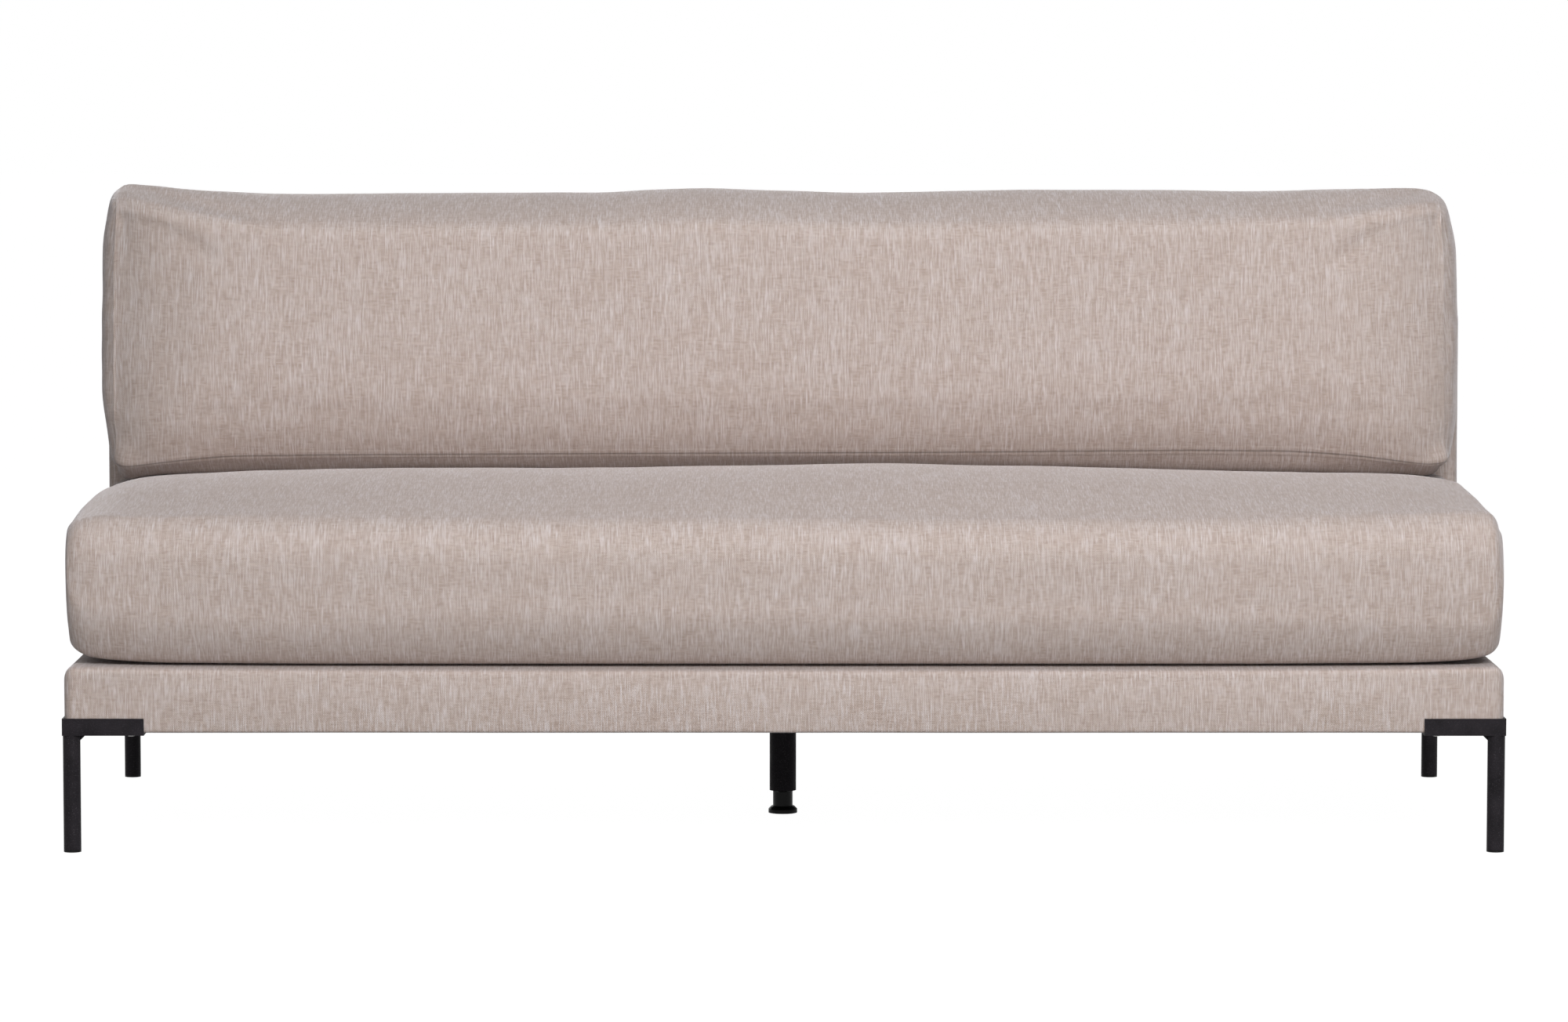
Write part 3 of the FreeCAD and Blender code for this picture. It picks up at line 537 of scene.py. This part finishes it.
def upholstered_box(name, node, radius, counts, swell, wave, seed, hem, pressed, aside, proud):
    """The fabric skin of a CAD cover node, with soft faces between firm edges.

    The hem hangs below the node, the front top edge is pressed down in the middle by what lies on it, and
    the skin is moved aside along X and stands proud of the node at both ends.
    """
    low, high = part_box(node)
    half = (high.x - low.x)/2 + proud
    low.z -= hem
    rings = []
    for x, inset in box_stations(half, radius, STATION_PITCH):
        full = min(1.0, max(0.0, (half - abs(x) - 0.06)/0.09))
        corners = (low.y + inset, low.z + 0.3*inset), (high.y - inset, high.z - inset)
        rings.append(box_ring(x + aside, *corners, radius, counts, swell*full))
    made = wrapped(name, rings, counts[0], counts[1], (END_BULGE, END_BULGE))
    co = coordinates(made)
    near_top = np.clip((co[:, 2] - high.z + 0.030)/0.030, 0, 1)
    near_front = np.clip((low.y + 0.045 - co[:, 1])/0.025, 0, 1)
    edge = near_top*near_front
    co[:, 2] -= pressed*edge*(1 - np.clip(np.abs(co[:, 0])/half, 0, 1)**4)
    middle = np.array((low + high)/2)
    size = np.array(high - low)/2
    inside = np.clip((1 - np.abs((co - middle)/size))/0.06, 0, 1)
    face = np.sort(inside, axis=1)[:, 1]
    shift = wave*(0.7*ripple(co, 5.0, seed) + 0.3*ripple(co, 14.0, seed + 1))*face*(1 - edge)
    reshape(made, co + point_normals(made)*shift[:, None])
    upholster(made, np.zeros(len(co)))
    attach(made, "frame")
    return made


base = upholstered_box("base_upholstery", "base_cover", radius=0.013, counts=(44, 16, 44, 16), swell=0.0026,
                       wave=0.0008, seed=3, hem=0.0012, pressed=0.0042, aside=0.0, proud=0.0015)
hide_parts("base_cover", "base_padding", "deck_felt")
back = upholstered_box("back_upholstery", "back_cover", radius=0.013, counts=(14, 30, 14, 30), swell=0.0012,
                       wave=0.0012, seed=8, hem=0.0, pressed=0.0, aside=0.0020, proud=0.0008)
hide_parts("back_cover", "back_padding")


def make_dust_cloth():
    """Spun-bonded cloth under the base, stapled along the rails and sagging a little between them."""
    source = nodes["dust_cover"]
    low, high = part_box("dust_cover")
    size = high - low
    sag, crease = 0.004, 0.0006
    sheet = bmesh.new()
    sheet.from_mesh(source.data)
    sheet.transform(source.matrix_world)
    bmesh.ops.delete(sheet, geom=[f for f in sheet.faces if f.normal.z > -0.5], context="FACES")
    area = sum(face.calc_area() for face in sheet.faces)
    for axis, count in ((0, 36), (1, 16)):
        across = Vector((1, 0, 0)) if axis == 0 else Vector((0, 1, 0))
        for step in range(1, count):
            everything = sheet.verts[:] + sheet.edges[:] + sheet.faces[:]
            bmesh.ops.bisect_plane(sheet, geom=everything, plane_co=low + size*(step/count), plane_no=across)
    for point in sheet.verts:
        bay_x = math.sin(3*math.pi*(point.co.x - low.x)/size.x)**2
        bay_y = math.sin(2*math.pi*(point.co.y - low.y)/size.y)**2
        point.co.z -= sag*bay_x*bay_y + crease*noise.noise(point.co*30)*bay_y
    mesh = bpy.data.meshes.new("dust_cloth")
    sheet.to_mesh(mesh)
    sheet.free()
    mesh.polygons.foreach_set("use_smooth", [True]*len(mesh.polygons))
    mesh.materials.append(FINISHES["dust_cloth"])
    cloth = bpy.data.objects.new("dust_cloth", mesh)
    bpy.context.scene.collection.objects.link(cloth)
    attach(cloth, "frame")
    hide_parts("dust_cover")


make_dust_cloth()


# Seat cushion

END_SEAM = 0.02   # share of a seam on a cushion's end faces
END_HOLD = 0.4    # how firmly the cloth run holds the end faces
SEAT_FLOOR = 0.2354
SEAT_REAR = 0.218
SEAT_FRONT = -0.394
SEAT_COUNTS = (48, 26, 48, 26)   # points on the underside, front, top and rear of a section
SEAT_SHELF = 0.4450   # height of the top under the back cushion
SEAT_CREST = 0.4600   # a lower crest lowers the shelf too
# Heights along the cushion: its crest, the front's shoulder, and how far the underside lifts off the base.
crest_height = curve([(-0.90, 0.4345), (-0.86, 0.4425), (-0.82, 0.4465), (-0.70, 0.4525), (-0.50, 0.4560),
                      (-0.20, 0.4575), (0.0, 0.4605), (0.13, 0.4625), (0.30, 0.4595), (0.50, 0.4550),
                      (0.68, 0.4512), (0.80, 0.4490), (0.84, 0.4477), (0.86, 0.4460), (0.88, 0.4445),
                      (0.90, 0.4432)])
shoulder_height = curve([(-0.905, 0.4185), (-0.86, 0.4190), (-0.60, 0.4195), (0.0, 0.4200), (0.60, 0.4195),
                         (0.84, 0.4235), (0.905, 0.4285)])
floor_lift = curve([(-0.906, 0.020), (-0.89, 0.010), (-0.86, 0.006), (-0.80, 0.002), (-0.60, 0.0005),
                    (0.60, 0.0005), (0.80, 0.002), (0.86, 0.005), (0.89, 0.009), (0.906, 0.017)])
# How far the front lies behind its fullest line, by height above the cushion's underside.
front_roll = curve([(0.0, 0.0412), (0.005, 0.0354), (0.012, 0.0290), (0.022, 0.0214), (0.035, 0.0141),
                    (0.052, 0.0074), (0.072, 0.0028), (0.095, 0.0006), (0.125, 0.0), (0.20, 0.0)], 4)


def seat_ring(x, inset, drop, rise):
    """Section across the seat cushion: full front, crowned top that falls to the back cushion, flat rear."""
    front = SEAT_FRONT + inset
    rear = SEAT_REAR - inset
    floor = SEAT_FLOOR + float(floor_lift(x)) + rise
    shoulder = float(shoulder_height(x)) - drop
    crest = float(crest_height(x)) - drop
    shelf = min(crest - 0.001, SEAT_SHELF - 0.6*max(0.0, SEAT_CREST - crest)) - 0.2*inset
    high = 0.052       # radius of the front top edge
    back_low = 0.020   # radius of the rear edges
    lip = shoulder + 0.004
    above_floor = np.linspace(0.003, shoulder - high - floor, 22)
    face = np.column_stack([front + front_roll(above_floor), floor + above_floor])
    start = face[0]
    front_low = round_corner((start[0] + 0.012, floor), (start[0] + 0.003, floor), start)
    front_top = round_corner((front, shoulder - high), (front, lip), (front + high, lip))
    top_points = [(front + high, lip), (-0.26, shoulder + 0.42*(crest - shoulder)),
                  (-0.17, shoulder + 0.80*(crest - shoulder)), (-0.08, crest - 0.001), (-0.02, crest),
                  (0.03, crest - 0.002), (0.07, shelf + 0.35*(crest - shelf)), (0.10, shelf),
                  (rear - back_low, shelf)]
    ys, zs = np.array(top_points).T
    fine = np.linspace(ys[0], ys[-1], 90)
    top = np.column_stack([fine, smoothed(np.interp(fine, ys, zs), 8)])
    rear_top = round_corner((rear - back_low, shelf), (rear, shelf), (rear, shelf - back_low))
    rear_low = round_corner((rear, floor + back_low), (rear, floor), (rear - back_low, floor))
    half = len(front_low)//2
    sides = [
        np.concatenate([rear_low[half:], front_low[:half + 1]]),
        np.concatenate([front_low[half:], face[1:], front_top[1:half + 1]]),
        np.concatenate([front_top[half:], top[1:], rear_top[1:half + 1]]),
        np.concatenate([rear_top[half:], rear_low[:half + 1]]),
    ]
    ring = section_ring(sides, SEAT_COUNTS, 0.35)
    return np.column_stack([np.full(len(ring), x), ring])


def seat_stations():
    """Places along the seat: insets at the front, top and underside, and how much of a seam lies there."""
    left = [(-0.9030, 0.0150, 0.0105, 0.0150, 1.0), (-0.9038, 0.0125, 0.0080, 0.0110, 0.4),
            (-0.9025, 0.0096, 0.0050, 0.0070, 0.15), (-0.8985, 0.0064, 0.0022, 0.0035, 0.05),
            (-0.8915, 0.0036, 0.0006, 0.0012, 0.0), (-0.8800, 0.0013, 0.0, 0.0, 0.0)]
    right = []
    for angle, seam in ((90, 0.5), (80, 0.3), (68, 0.15), (54, 0.05), (38, 0.0), (20, 0.0), (0, 0.0)):
        draw = 1 - math.cos(math.radians(angle))
        reach = math.sin(math.radians(angle))
        right.append((0.887 + 0.0185*reach, 0.014*draw, 0.0265*draw, 0.012*draw, seam))
    middle = [(x, 0.0, 0.0, 0.0, 0.0) for x in np.linspace(-0.868, 0.870, 118)]
    return left + middle + right[::-1]


def make_seat():
    """The loose seat cushion, swollen by the cloth run and lying on the base."""
    places = seat_stations()
    seat = wrapped("seat_cushion_soft", [seat_ring(*place[:4]) for place in places],
                   SEAT_COUNTS[0], SEAT_COUNTS[1], (0.0090, 0.0050), (0.5, 0.3))
    co = coordinates(seat)
    around = 2*(SEAT_COUNTS[0] + SEAT_COUNTS[1])
    seam = np.zeros(len(co))
    for number, place in enumerate(places):
        seam[number*around:(number + 1)*around] = place[-1]
    seam[len(places)*around:] = END_SEAM
    resting = np.clip(1 - (co[:, 2] - SEAT_FLOOR - 0.001)/0.090, 0, 1)
    ends = np.zeros(len(co))
    ends[len(places)*around:] = END_HOLD
    held = np.max([seam, resting, ends], axis=0)
    inflate(seat, held)
    co = coordinates(seat)
    free = 1 - np.clip(held*1.5, 0, 1)
    shift = (0.0016*ripple(co*np.array([1, 1.6, 1.6]), 4.0, 21) + 0.0007*ripple(co, 13.0, 22))*free
    co = co + point_normals(seat)*shift[:, None]
    co[:, 2] = np.maximum(co[:, 2], SEAT_FLOOR)
    co[:, 1] = np.minimum(co[:, 1], SEAT_REAR)
    reshape(seat, co)
    upholster(seat, seam)
    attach(seat, "seat_cushion")
    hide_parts("seat_cushion_cover", "seat_cushion_filling", "seat_cushion_zip")
    return seat


seat_cushion = make_seat()


# Back cushion

PILLOW_COUNTS = (18, 40, 18, 40)   # points on the underside, front, top and rear of a section
LEAN = math.tan(math.radians(6))
PILLOW_SHIFT = -0.004   # the cushion lies a little to the left
PILLOW_MIDDLE = 0.64    # height at which the section's depths are given
PILLOW_REAR = 0.071     # from the section's middle to its rear
PILLOW_FRONT = -0.067   # and to the lower front seam
PILLOW_GAP = 0.0008     # left between the two cushions
# Heights along the cushion: its underside, the lower front seam and the top.
pillow_floor = curve([(-0.905, 0.4330), (-0.86, 0.4340), (-0.78, 0.4400), (-0.66, 0.4440), (-0.50, 0.4460),
                      (0.50, 0.4460), (0.66, 0.4440), (0.78, 0.4410), (0.86, 0.4370), (0.905, 0.4360)])
pillow_seam = curve([(-0.895, 0.4500), (-0.86, 0.4520), (-0.82, 0.4590), (-0.74, 0.4680), (-0.60, 0.4700),
                     (-0.20, 0.4720), (0.20, 0.4735), (0.55, 0.4765), (0.68, 0.4755), (0.76, 0.4700),
                     (0.82, 0.4620), (0.86, 0.4550), (0.895, 0.4530)])
pillow_top = curve([(-0.90, 0.8302), (-0.876, 0.8290), (-0.856, 0.8240), (-0.839, 0.8243), (-0.814, 0.8209),
                    (-0.775, 0.8184), (-0.69, 0.8155), (-0.607, 0.8147), (-0.42, 0.8173), (-0.23, 0.8192),
                    (-0.105, 0.8235), (-0.02, 0.8219), (0.105, 0.8174), (0.23, 0.8197), (0.31, 0.8200),
                    (0.44, 0.8213), (0.607, 0.8211), (0.733, 0.8221), (0.838, 0.8230), (0.868, 0.8240),
                    (0.90, 0.8262)], 3)
# Height of the sloping band under the top edge, by distance from the middle.
top_band = curve([(0.0, 0.0350), (0.55, 0.0340), (0.66, 0.0310), (0.74, 0.0260), (0.80, 0.0200),
                  (0.85, 0.0155), (0.89, 0.0135)], 4)


def pillow_rear(z):
    """Where the cushion's rear leans on the back, by height."""
    return 0.2178 + (z - 0.648)*LEAN


# How far the front stands ahead of the lower seam, by height above it.
front_fullness = curve([(0.0, 0.0), (0.008, 0.0062), (0.018, 0.0130), (0.032, 0.0203), (0.048, 0.0264),
                        (0.068, 0.0310), (0.100, 0.0344), (0.150, 0.0361), (0.230, 0.0361),
                        (0.360, 0.0351)], 4)
# How far the front falls back towards an end, by distance from the middle.
end_recess = curve([(0.0, 0.0), (0.70, 0.0), (0.76, 0.0020), (0.80, 0.0070), (0.83, 0.0145), (0.855, 0.0240),
                    (0.872, 0.0330), (0.888, 0.0450)], 4)


def pillow_ring(x, drop, rise):
    """Section across the back cushion: seamed lower front, full face, sloping top, flat leaning rear."""
    floor = float(pillow_floor(x)) + rise
    seam = float(pillow_seam(x)) + 0.5*rise
    top = float(pillow_top(x)) - drop
    middle = pillow_rear(PILLOW_MIDDLE) - PILLOW_REAR

    def at(across, z):
        return np.array([middle + (z - PILLOW_MIDDLE)*LEAN + across, z])

    front = PILLOW_FRONT + float(end_recess(abs(x)))
    rear = PILLOW_REAR - 0.15*float(end_recess(abs(x)))
    full = 1 - 0.35*min(1.0, abs(x)/0.88)**6
    lip = front - full*float(front_fullness(0.3))
    band = float(top_band(abs(x)))
    roll = 0.020       # radius of the front top edge
    crown = 0.030      # radius of the rear top edge, along the slope
    strip = 0.030      # how far the boxing strip runs back below the seam
    rear_edge = 0.022  # radius of the rear lower edge
    heights = np.linspace(0, top - band - roll - seam, 40)
    face = np.array([at(front - full*float(front_fullness(h)), seam + h) for h in heights])
    steps = np.linspace(0, 1, 10)
    lower = np.array([at(front + strip*t**1.15, seam + (floor + 0.003 - seam)*t) for t in steps])[::-1]
    front_floor = round_corner(at(front + 0.046, floor), at(front + 0.034, floor), lower[0])
    front_top = round_corner(face[-1], at(lip + 0.001, top - band - 0.006), at(lip + roll, top - band),
                             1.1 - 0.45*min(1.0, abs(x)/0.84)**6)
    deep = rear - crown - lip - roll
    slope = [at(lip + roll + deep*t, top - band*(1 - t)**1.35) for t in np.linspace(0, 1, 12)]
    rear_top = round_corner(slope[-1], at(rear - 0.002, top + 0.001), at(rear, top - 0.045))
    rear_low = round_corner(at(rear, floor + rear_edge), at(rear, floor), at(rear - rear_edge, floor))
    half = len(front_top)//2
    sides = [
        np.concatenate([rear_low[half:], front_floor, lower[1:]]),
        np.concatenate([face, front_top[1:half + 1]]),
        np.concatenate([front_top[half:], slope[1:], rear_top[1:half + 1]]),
        np.concatenate([rear_top[half:], rear_low[:half + 1]]),
    ]
    ring = section_ring(sides, PILLOW_COUNTS, 0.45)
    return np.column_stack([np.full(len(ring), x + PILLOW_SHIFT), ring])


def pillow_stations():
    """Places along the back cushion: how far top and underside are drawn in there, and the seam there."""
    left, right = [], []
    turns = ((90, 0.5), (80, 0.35), (70, 0.2), (58, 0.1), (42, 0.05), (26, 0.0), (12, 0.0), (0, 0.0))
    for angle, seam in turns:
        draw = 1 - math.cos(math.radians(angle))
        reach = math.sin(math.radians(angle))
        left.append((-0.862 - 0.026*reach, 0.007*draw, 0.016*draw, seam))
        right.append((0.856 + 0.030*reach, 0.009*draw, 0.012*draw, seam))
    middle = [(x, 0.0, 0.0, 0.0) for x in np.linspace(-0.849, 0.842, 116)]
    return left + middle + right[::-1]


# Places where the ends are drawn out into ears or in, each with its step and reach.
PILLOW_PULLS = [
    ((0.880, 0.095, 0.458), (0.009, -0.008, 0.001), 0.019),
    ((-0.888, 0.090, 0.455), (-0.004, -0.005, 0.0), 0.020),
    ((-0.900, 0.140, 0.488), (0.0036, 0.0, 0.0), (0.04, 0.15, 0.028)),
    ((-0.905, 0.150, 0.790), (0.0020, 0.0, 0.0), (0.05, 0.15, 0.030)),
    ((0.905, 0.150, 0.785), (-0.0026, 0.0, 0.0), (0.05, 0.15, 0.030)),
]


def pull(co, place, step, reach):
    """Draws the points near a place along a step, fading over the reach."""
    near = np.exp(-(((co - np.array(place))/np.array(reach))**2).sum(axis=1))
    return co + near[:, None]*np.array(step)


LOWER_EDGE = 0.485   # points below this height may settle
ABOVE_SEAT = 0.6     # height from which the seat is sought


def settle(co, support):
    """Lets the lower edge of the back cushion follow the piece it stands on."""
    tree = BVHTree.FromObject(support, bpy.context.evaluated_depsgraph_get())
    settled = co.copy()
    for number in np.flatnonzero(co[:, 2] < LOWER_EDGE):
        x, y, z = co[number]
        hit = tree.ray_cast(Vector((x, y, ABOVE_SEAT)), Vector((0, 0, -1)))[0]
        if hit is None:
            continue
        floor = float(pillow_floor(x - PILLOW_SHIFT))
        share = min(1.0, max(0.0, 1 - (z - floor)/0.020))
        settled[number, 2] = max(z + share*(hit.z + PILLOW_GAP - floor), hit.z + PILLOW_GAP)
    return settled


def make_pillow(seat):
    """The loose back cushion, swollen by the cloth run, standing on the seat and leaning on the back."""
    places = pillow_stations()
    pillow = wrapped("back_cushion_soft", [pillow_ring(*place[:3]) for place in places],
                     PILLOW_COUNTS[0], PILLOW_COUNTS[1], (0.022, 0.0245), (1.0, 0.42))
    co = coordinates(pillow)
    around = 2*(PILLOW_COUNTS[0] + PILLOW_COUNTS[1])
    seam = np.zeros(len(co))
    shaped = np.zeros(len(co))
    below, above = 5, 18   # points beside the lower front seam that keep their shape
    for number, place in enumerate(places):
        start = number*around
        seam[start:start + around] = place[-1]
        corner = start + PILLOW_COUNTS[0]
        for step, strength in ((-1, 0.6), (0, 1.0), (1, 0.6)):
            seam[corner + step] = max(seam[corner + step], strength)
        for step in range(1 - below, above):
            reach = below if step < 0 else above
            shaped[corner + step] = (1 - abs(step)/reach)**1.2
    seam[len(places)*around:] = END_SEAM
    ends = np.zeros(len(co))
    ends[len(places)*around:] = END_HOLD
    rests = np.clip(1 - (co[:, 2] - 0.4475)/0.006, 0, 1)
    leans = np.clip(1 - (pillow_rear(co[:, 2]) - co[:, 1])/0.004, 0, 1)
    held = np.max([seam, shaped, rests, leans, ends], axis=0)
    inflate(pillow, held)
    co = coordinates(pillow)
    free = 1 - np.clip(held*1.5, 0, 1)
    shift = (0.0030*ripple(co*np.array([1, 1, 0.7]), 4.5, 31) + 0.0010*ripple(co, 14.0, 32))*free
    shift -= 0.0005*np.clip((seam - 0.6)/0.4, 0, 1)
    near_end = np.clip((np.abs(co[:, 0]) - 0.848)/0.025, 0, 1)
    shift += 0.0018*ripple(co, 24.0, 33)*near_end*(1 - leans)
    co = co + point_normals(pillow)*shift[:, None]
    for place, step, reach in PILLOW_PULLS:
        co = pull(co, place, step, reach)
    co[:, 1] = np.minimum(co[:, 1], pillow_rear(co[:, 2]))
    co = settle(co, seat)
    reshape(pillow, co)
    upholster(pillow, seam)
    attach(pillow, "back_cushion")
    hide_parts("back_cushion_cover", "back_cushion_filling", "back_cushion_zip")


make_pillow(seat_cushion)


# Stage

def white_floor():
    """A pale floor that the camera sees as white, with the object's shadow left on it."""
    n = Nodes("floor")
    glow_level, glow_share = 1.10, 0.90
    n.set(Base_Color=(0.45, 0.45, 0.45, 1.0), Roughness=0.9)
    path = n.add("ShaderNodeLightPath")
    seen = n.math("MAXIMUM", path.outputs["Is Camera Ray"],
                  n.math("MAXIMUM", path.outputs["Is Glossy Ray"], path.outputs["Is Transmission Ray"]))
    glow = n.add("ShaderNodeEmission")
    glow.inputs["Strength"].default_value = glow_level
    blend = n.add("ShaderNodeMixShader")
    n.link(n.times(seen, glow_share), blend.inputs[0])
    n.link(n.shader.outputs[0], blend.inputs[1])
    n.link(glow.outputs[0], blend.inputs[2])
    n.link(blend.outputs[0], n.tree.nodes["Material Output"].inputs[0])
    mesh = bpy.data.meshes.new("floor")
    far = 30
    mesh.from_pydata([(-far, -far, 0), (far, -far, 0), (far, far, 0), (-far, far, 0)], [], [(0, 1, 2, 3)])
    floor = bpy.data.objects.new("floor", mesh)
    bpy.context.scene.collection.objects.link(floor)
    mesh.materials.append(n.material)


def studio_world(level):
    """Even light from all round, behind which the camera sees white."""
    world = bpy.data.worlds.new("studio")
    bpy.context.scene.world = world
    world.use_nodes = True
    tree = world.node_tree
    ambient = tree.nodes["Background"]
    ambient.inputs["Color"].default_value = (1.0, 1.0, 1.0, 1.0)
    ambient.inputs["Strength"].default_value = level
    white = tree.nodes.new("ShaderNodeBackground")
    white.inputs["Color"].default_value = (1.0, 1.0, 1.0, 1.0)
    path = tree.nodes.new("ShaderNodeLightPath")
    blend = tree.nodes.new("ShaderNodeMixShader")
    seen = path.outputs["Is Camera Ray"]
    for ray in ("Is Glossy Ray", "Is Transmission Ray"):
        either = tree.nodes.new("ShaderNodeMath")
        either.operation = "MAXIMUM"
        tree.links.new(seen, either.inputs[0])
        tree.links.new(path.outputs[ray], either.inputs[1])
        seen = either.outputs[0]
    tree.links.new(seen, blend.inputs[0])
    tree.links.new(ambient.outputs[0], blend.inputs[1])
    tree.links.new(white.outputs[0], blend.inputs[2])
    tree.links.new(blend.outputs[0], tree.nodes["World Output"].inputs[0])


def softbox(name, place, target, size, watts, colour=(1.0, 1.0, 1.0)):
    """A rectangular lamp of width and height that faces its target."""
    light = bpy.data.lights.new(name, "AREA")
    light.shape = "RECTANGLE"
    light.size, light.size_y = size
    light.energy = watts
    light.color = colour
    made = bpy.data.objects.new(name, light)
    made.location = place
    made.rotation_euler = (Vector(target) - Vector(place)).to_track_quat("-Z", "Y").to_euler()
    bpy.context.scene.collection.objects.link(made)


SENSOR = 36.0
IMAGE_WIDTH = 2000
FOCAL_PIXELS = 7607
CAMERA_PLACE = (-0.0424, -7.844, 1.065)
CAMERA_ANGLES = (4.84, 0.319, 0.041)   # downwards, to the right and rolled, in degrees
WARM = (1.0, 0.985, 0.965)
COOL = (0.93, 0.96, 1.0)


def photo_camera():
    """The camera fitted to the photograph's legs and base edges, for a frame 2000 wide and 1304 high."""
    pitch, yaw, roll = (math.radians(a) for a in CAMERA_ANGLES)
    ahead = Vector((math.sin(yaw)*math.cos(pitch), math.cos(yaw)*math.cos(pitch), -math.sin(pitch)))
    right = Vector((math.cos(yaw), -math.sin(yaw), 0))
    up = right.cross(ahead)
    right, up = right*math.cos(roll) + up*math.sin(roll), up*math.cos(roll) - right*math.sin(roll)
    lens = bpy.data.cameras.new("photo_camera")
    lens.sensor_fit = "HORIZONTAL"
    lens.sensor_width = SENSOR
    lens.lens = SENSOR*FOCAL_PIXELS/IMAGE_WIDTH
    made = bpy.data.objects.new("photo_camera", lens)
    turn = Matrix((right, up, -ahead)).transposed()
    made.matrix_world = Matrix.Translation(CAMERA_PLACE) @ turn.to_4x4()
    bpy.context.scene.collection.objects.link(made)
    bpy.context.scene.camera = made


white_floor()
studio_world(level=0.09)
softbox("key", place=(1.3, -4.9, 2.9), target=(0.0, 0.0, 0.45), size=(2.2, 1.6), watts=187.0, colour=WARM)
softbox("fill", place=(-1.7, -5.0, 2.7), target=(0.0, 0.0, 0.4), size=(2.2, 1.6), watts=47.0, colour=WARM)
softbox("top", place=(0.5, -1.6, 3.8), target=(0.0, 0.0, 0.4), size=(3.0, 1.2), watts=54.0, colour=COOL)
softbox("rear", place=(-0.8, 4.8, 1.5), target=(0.0, 0.0, 0.45), size=(2.6, 1.6), watts=64.0)
photo_camera()
bpy.context.scene.view_settings.view_transform = "Standard"
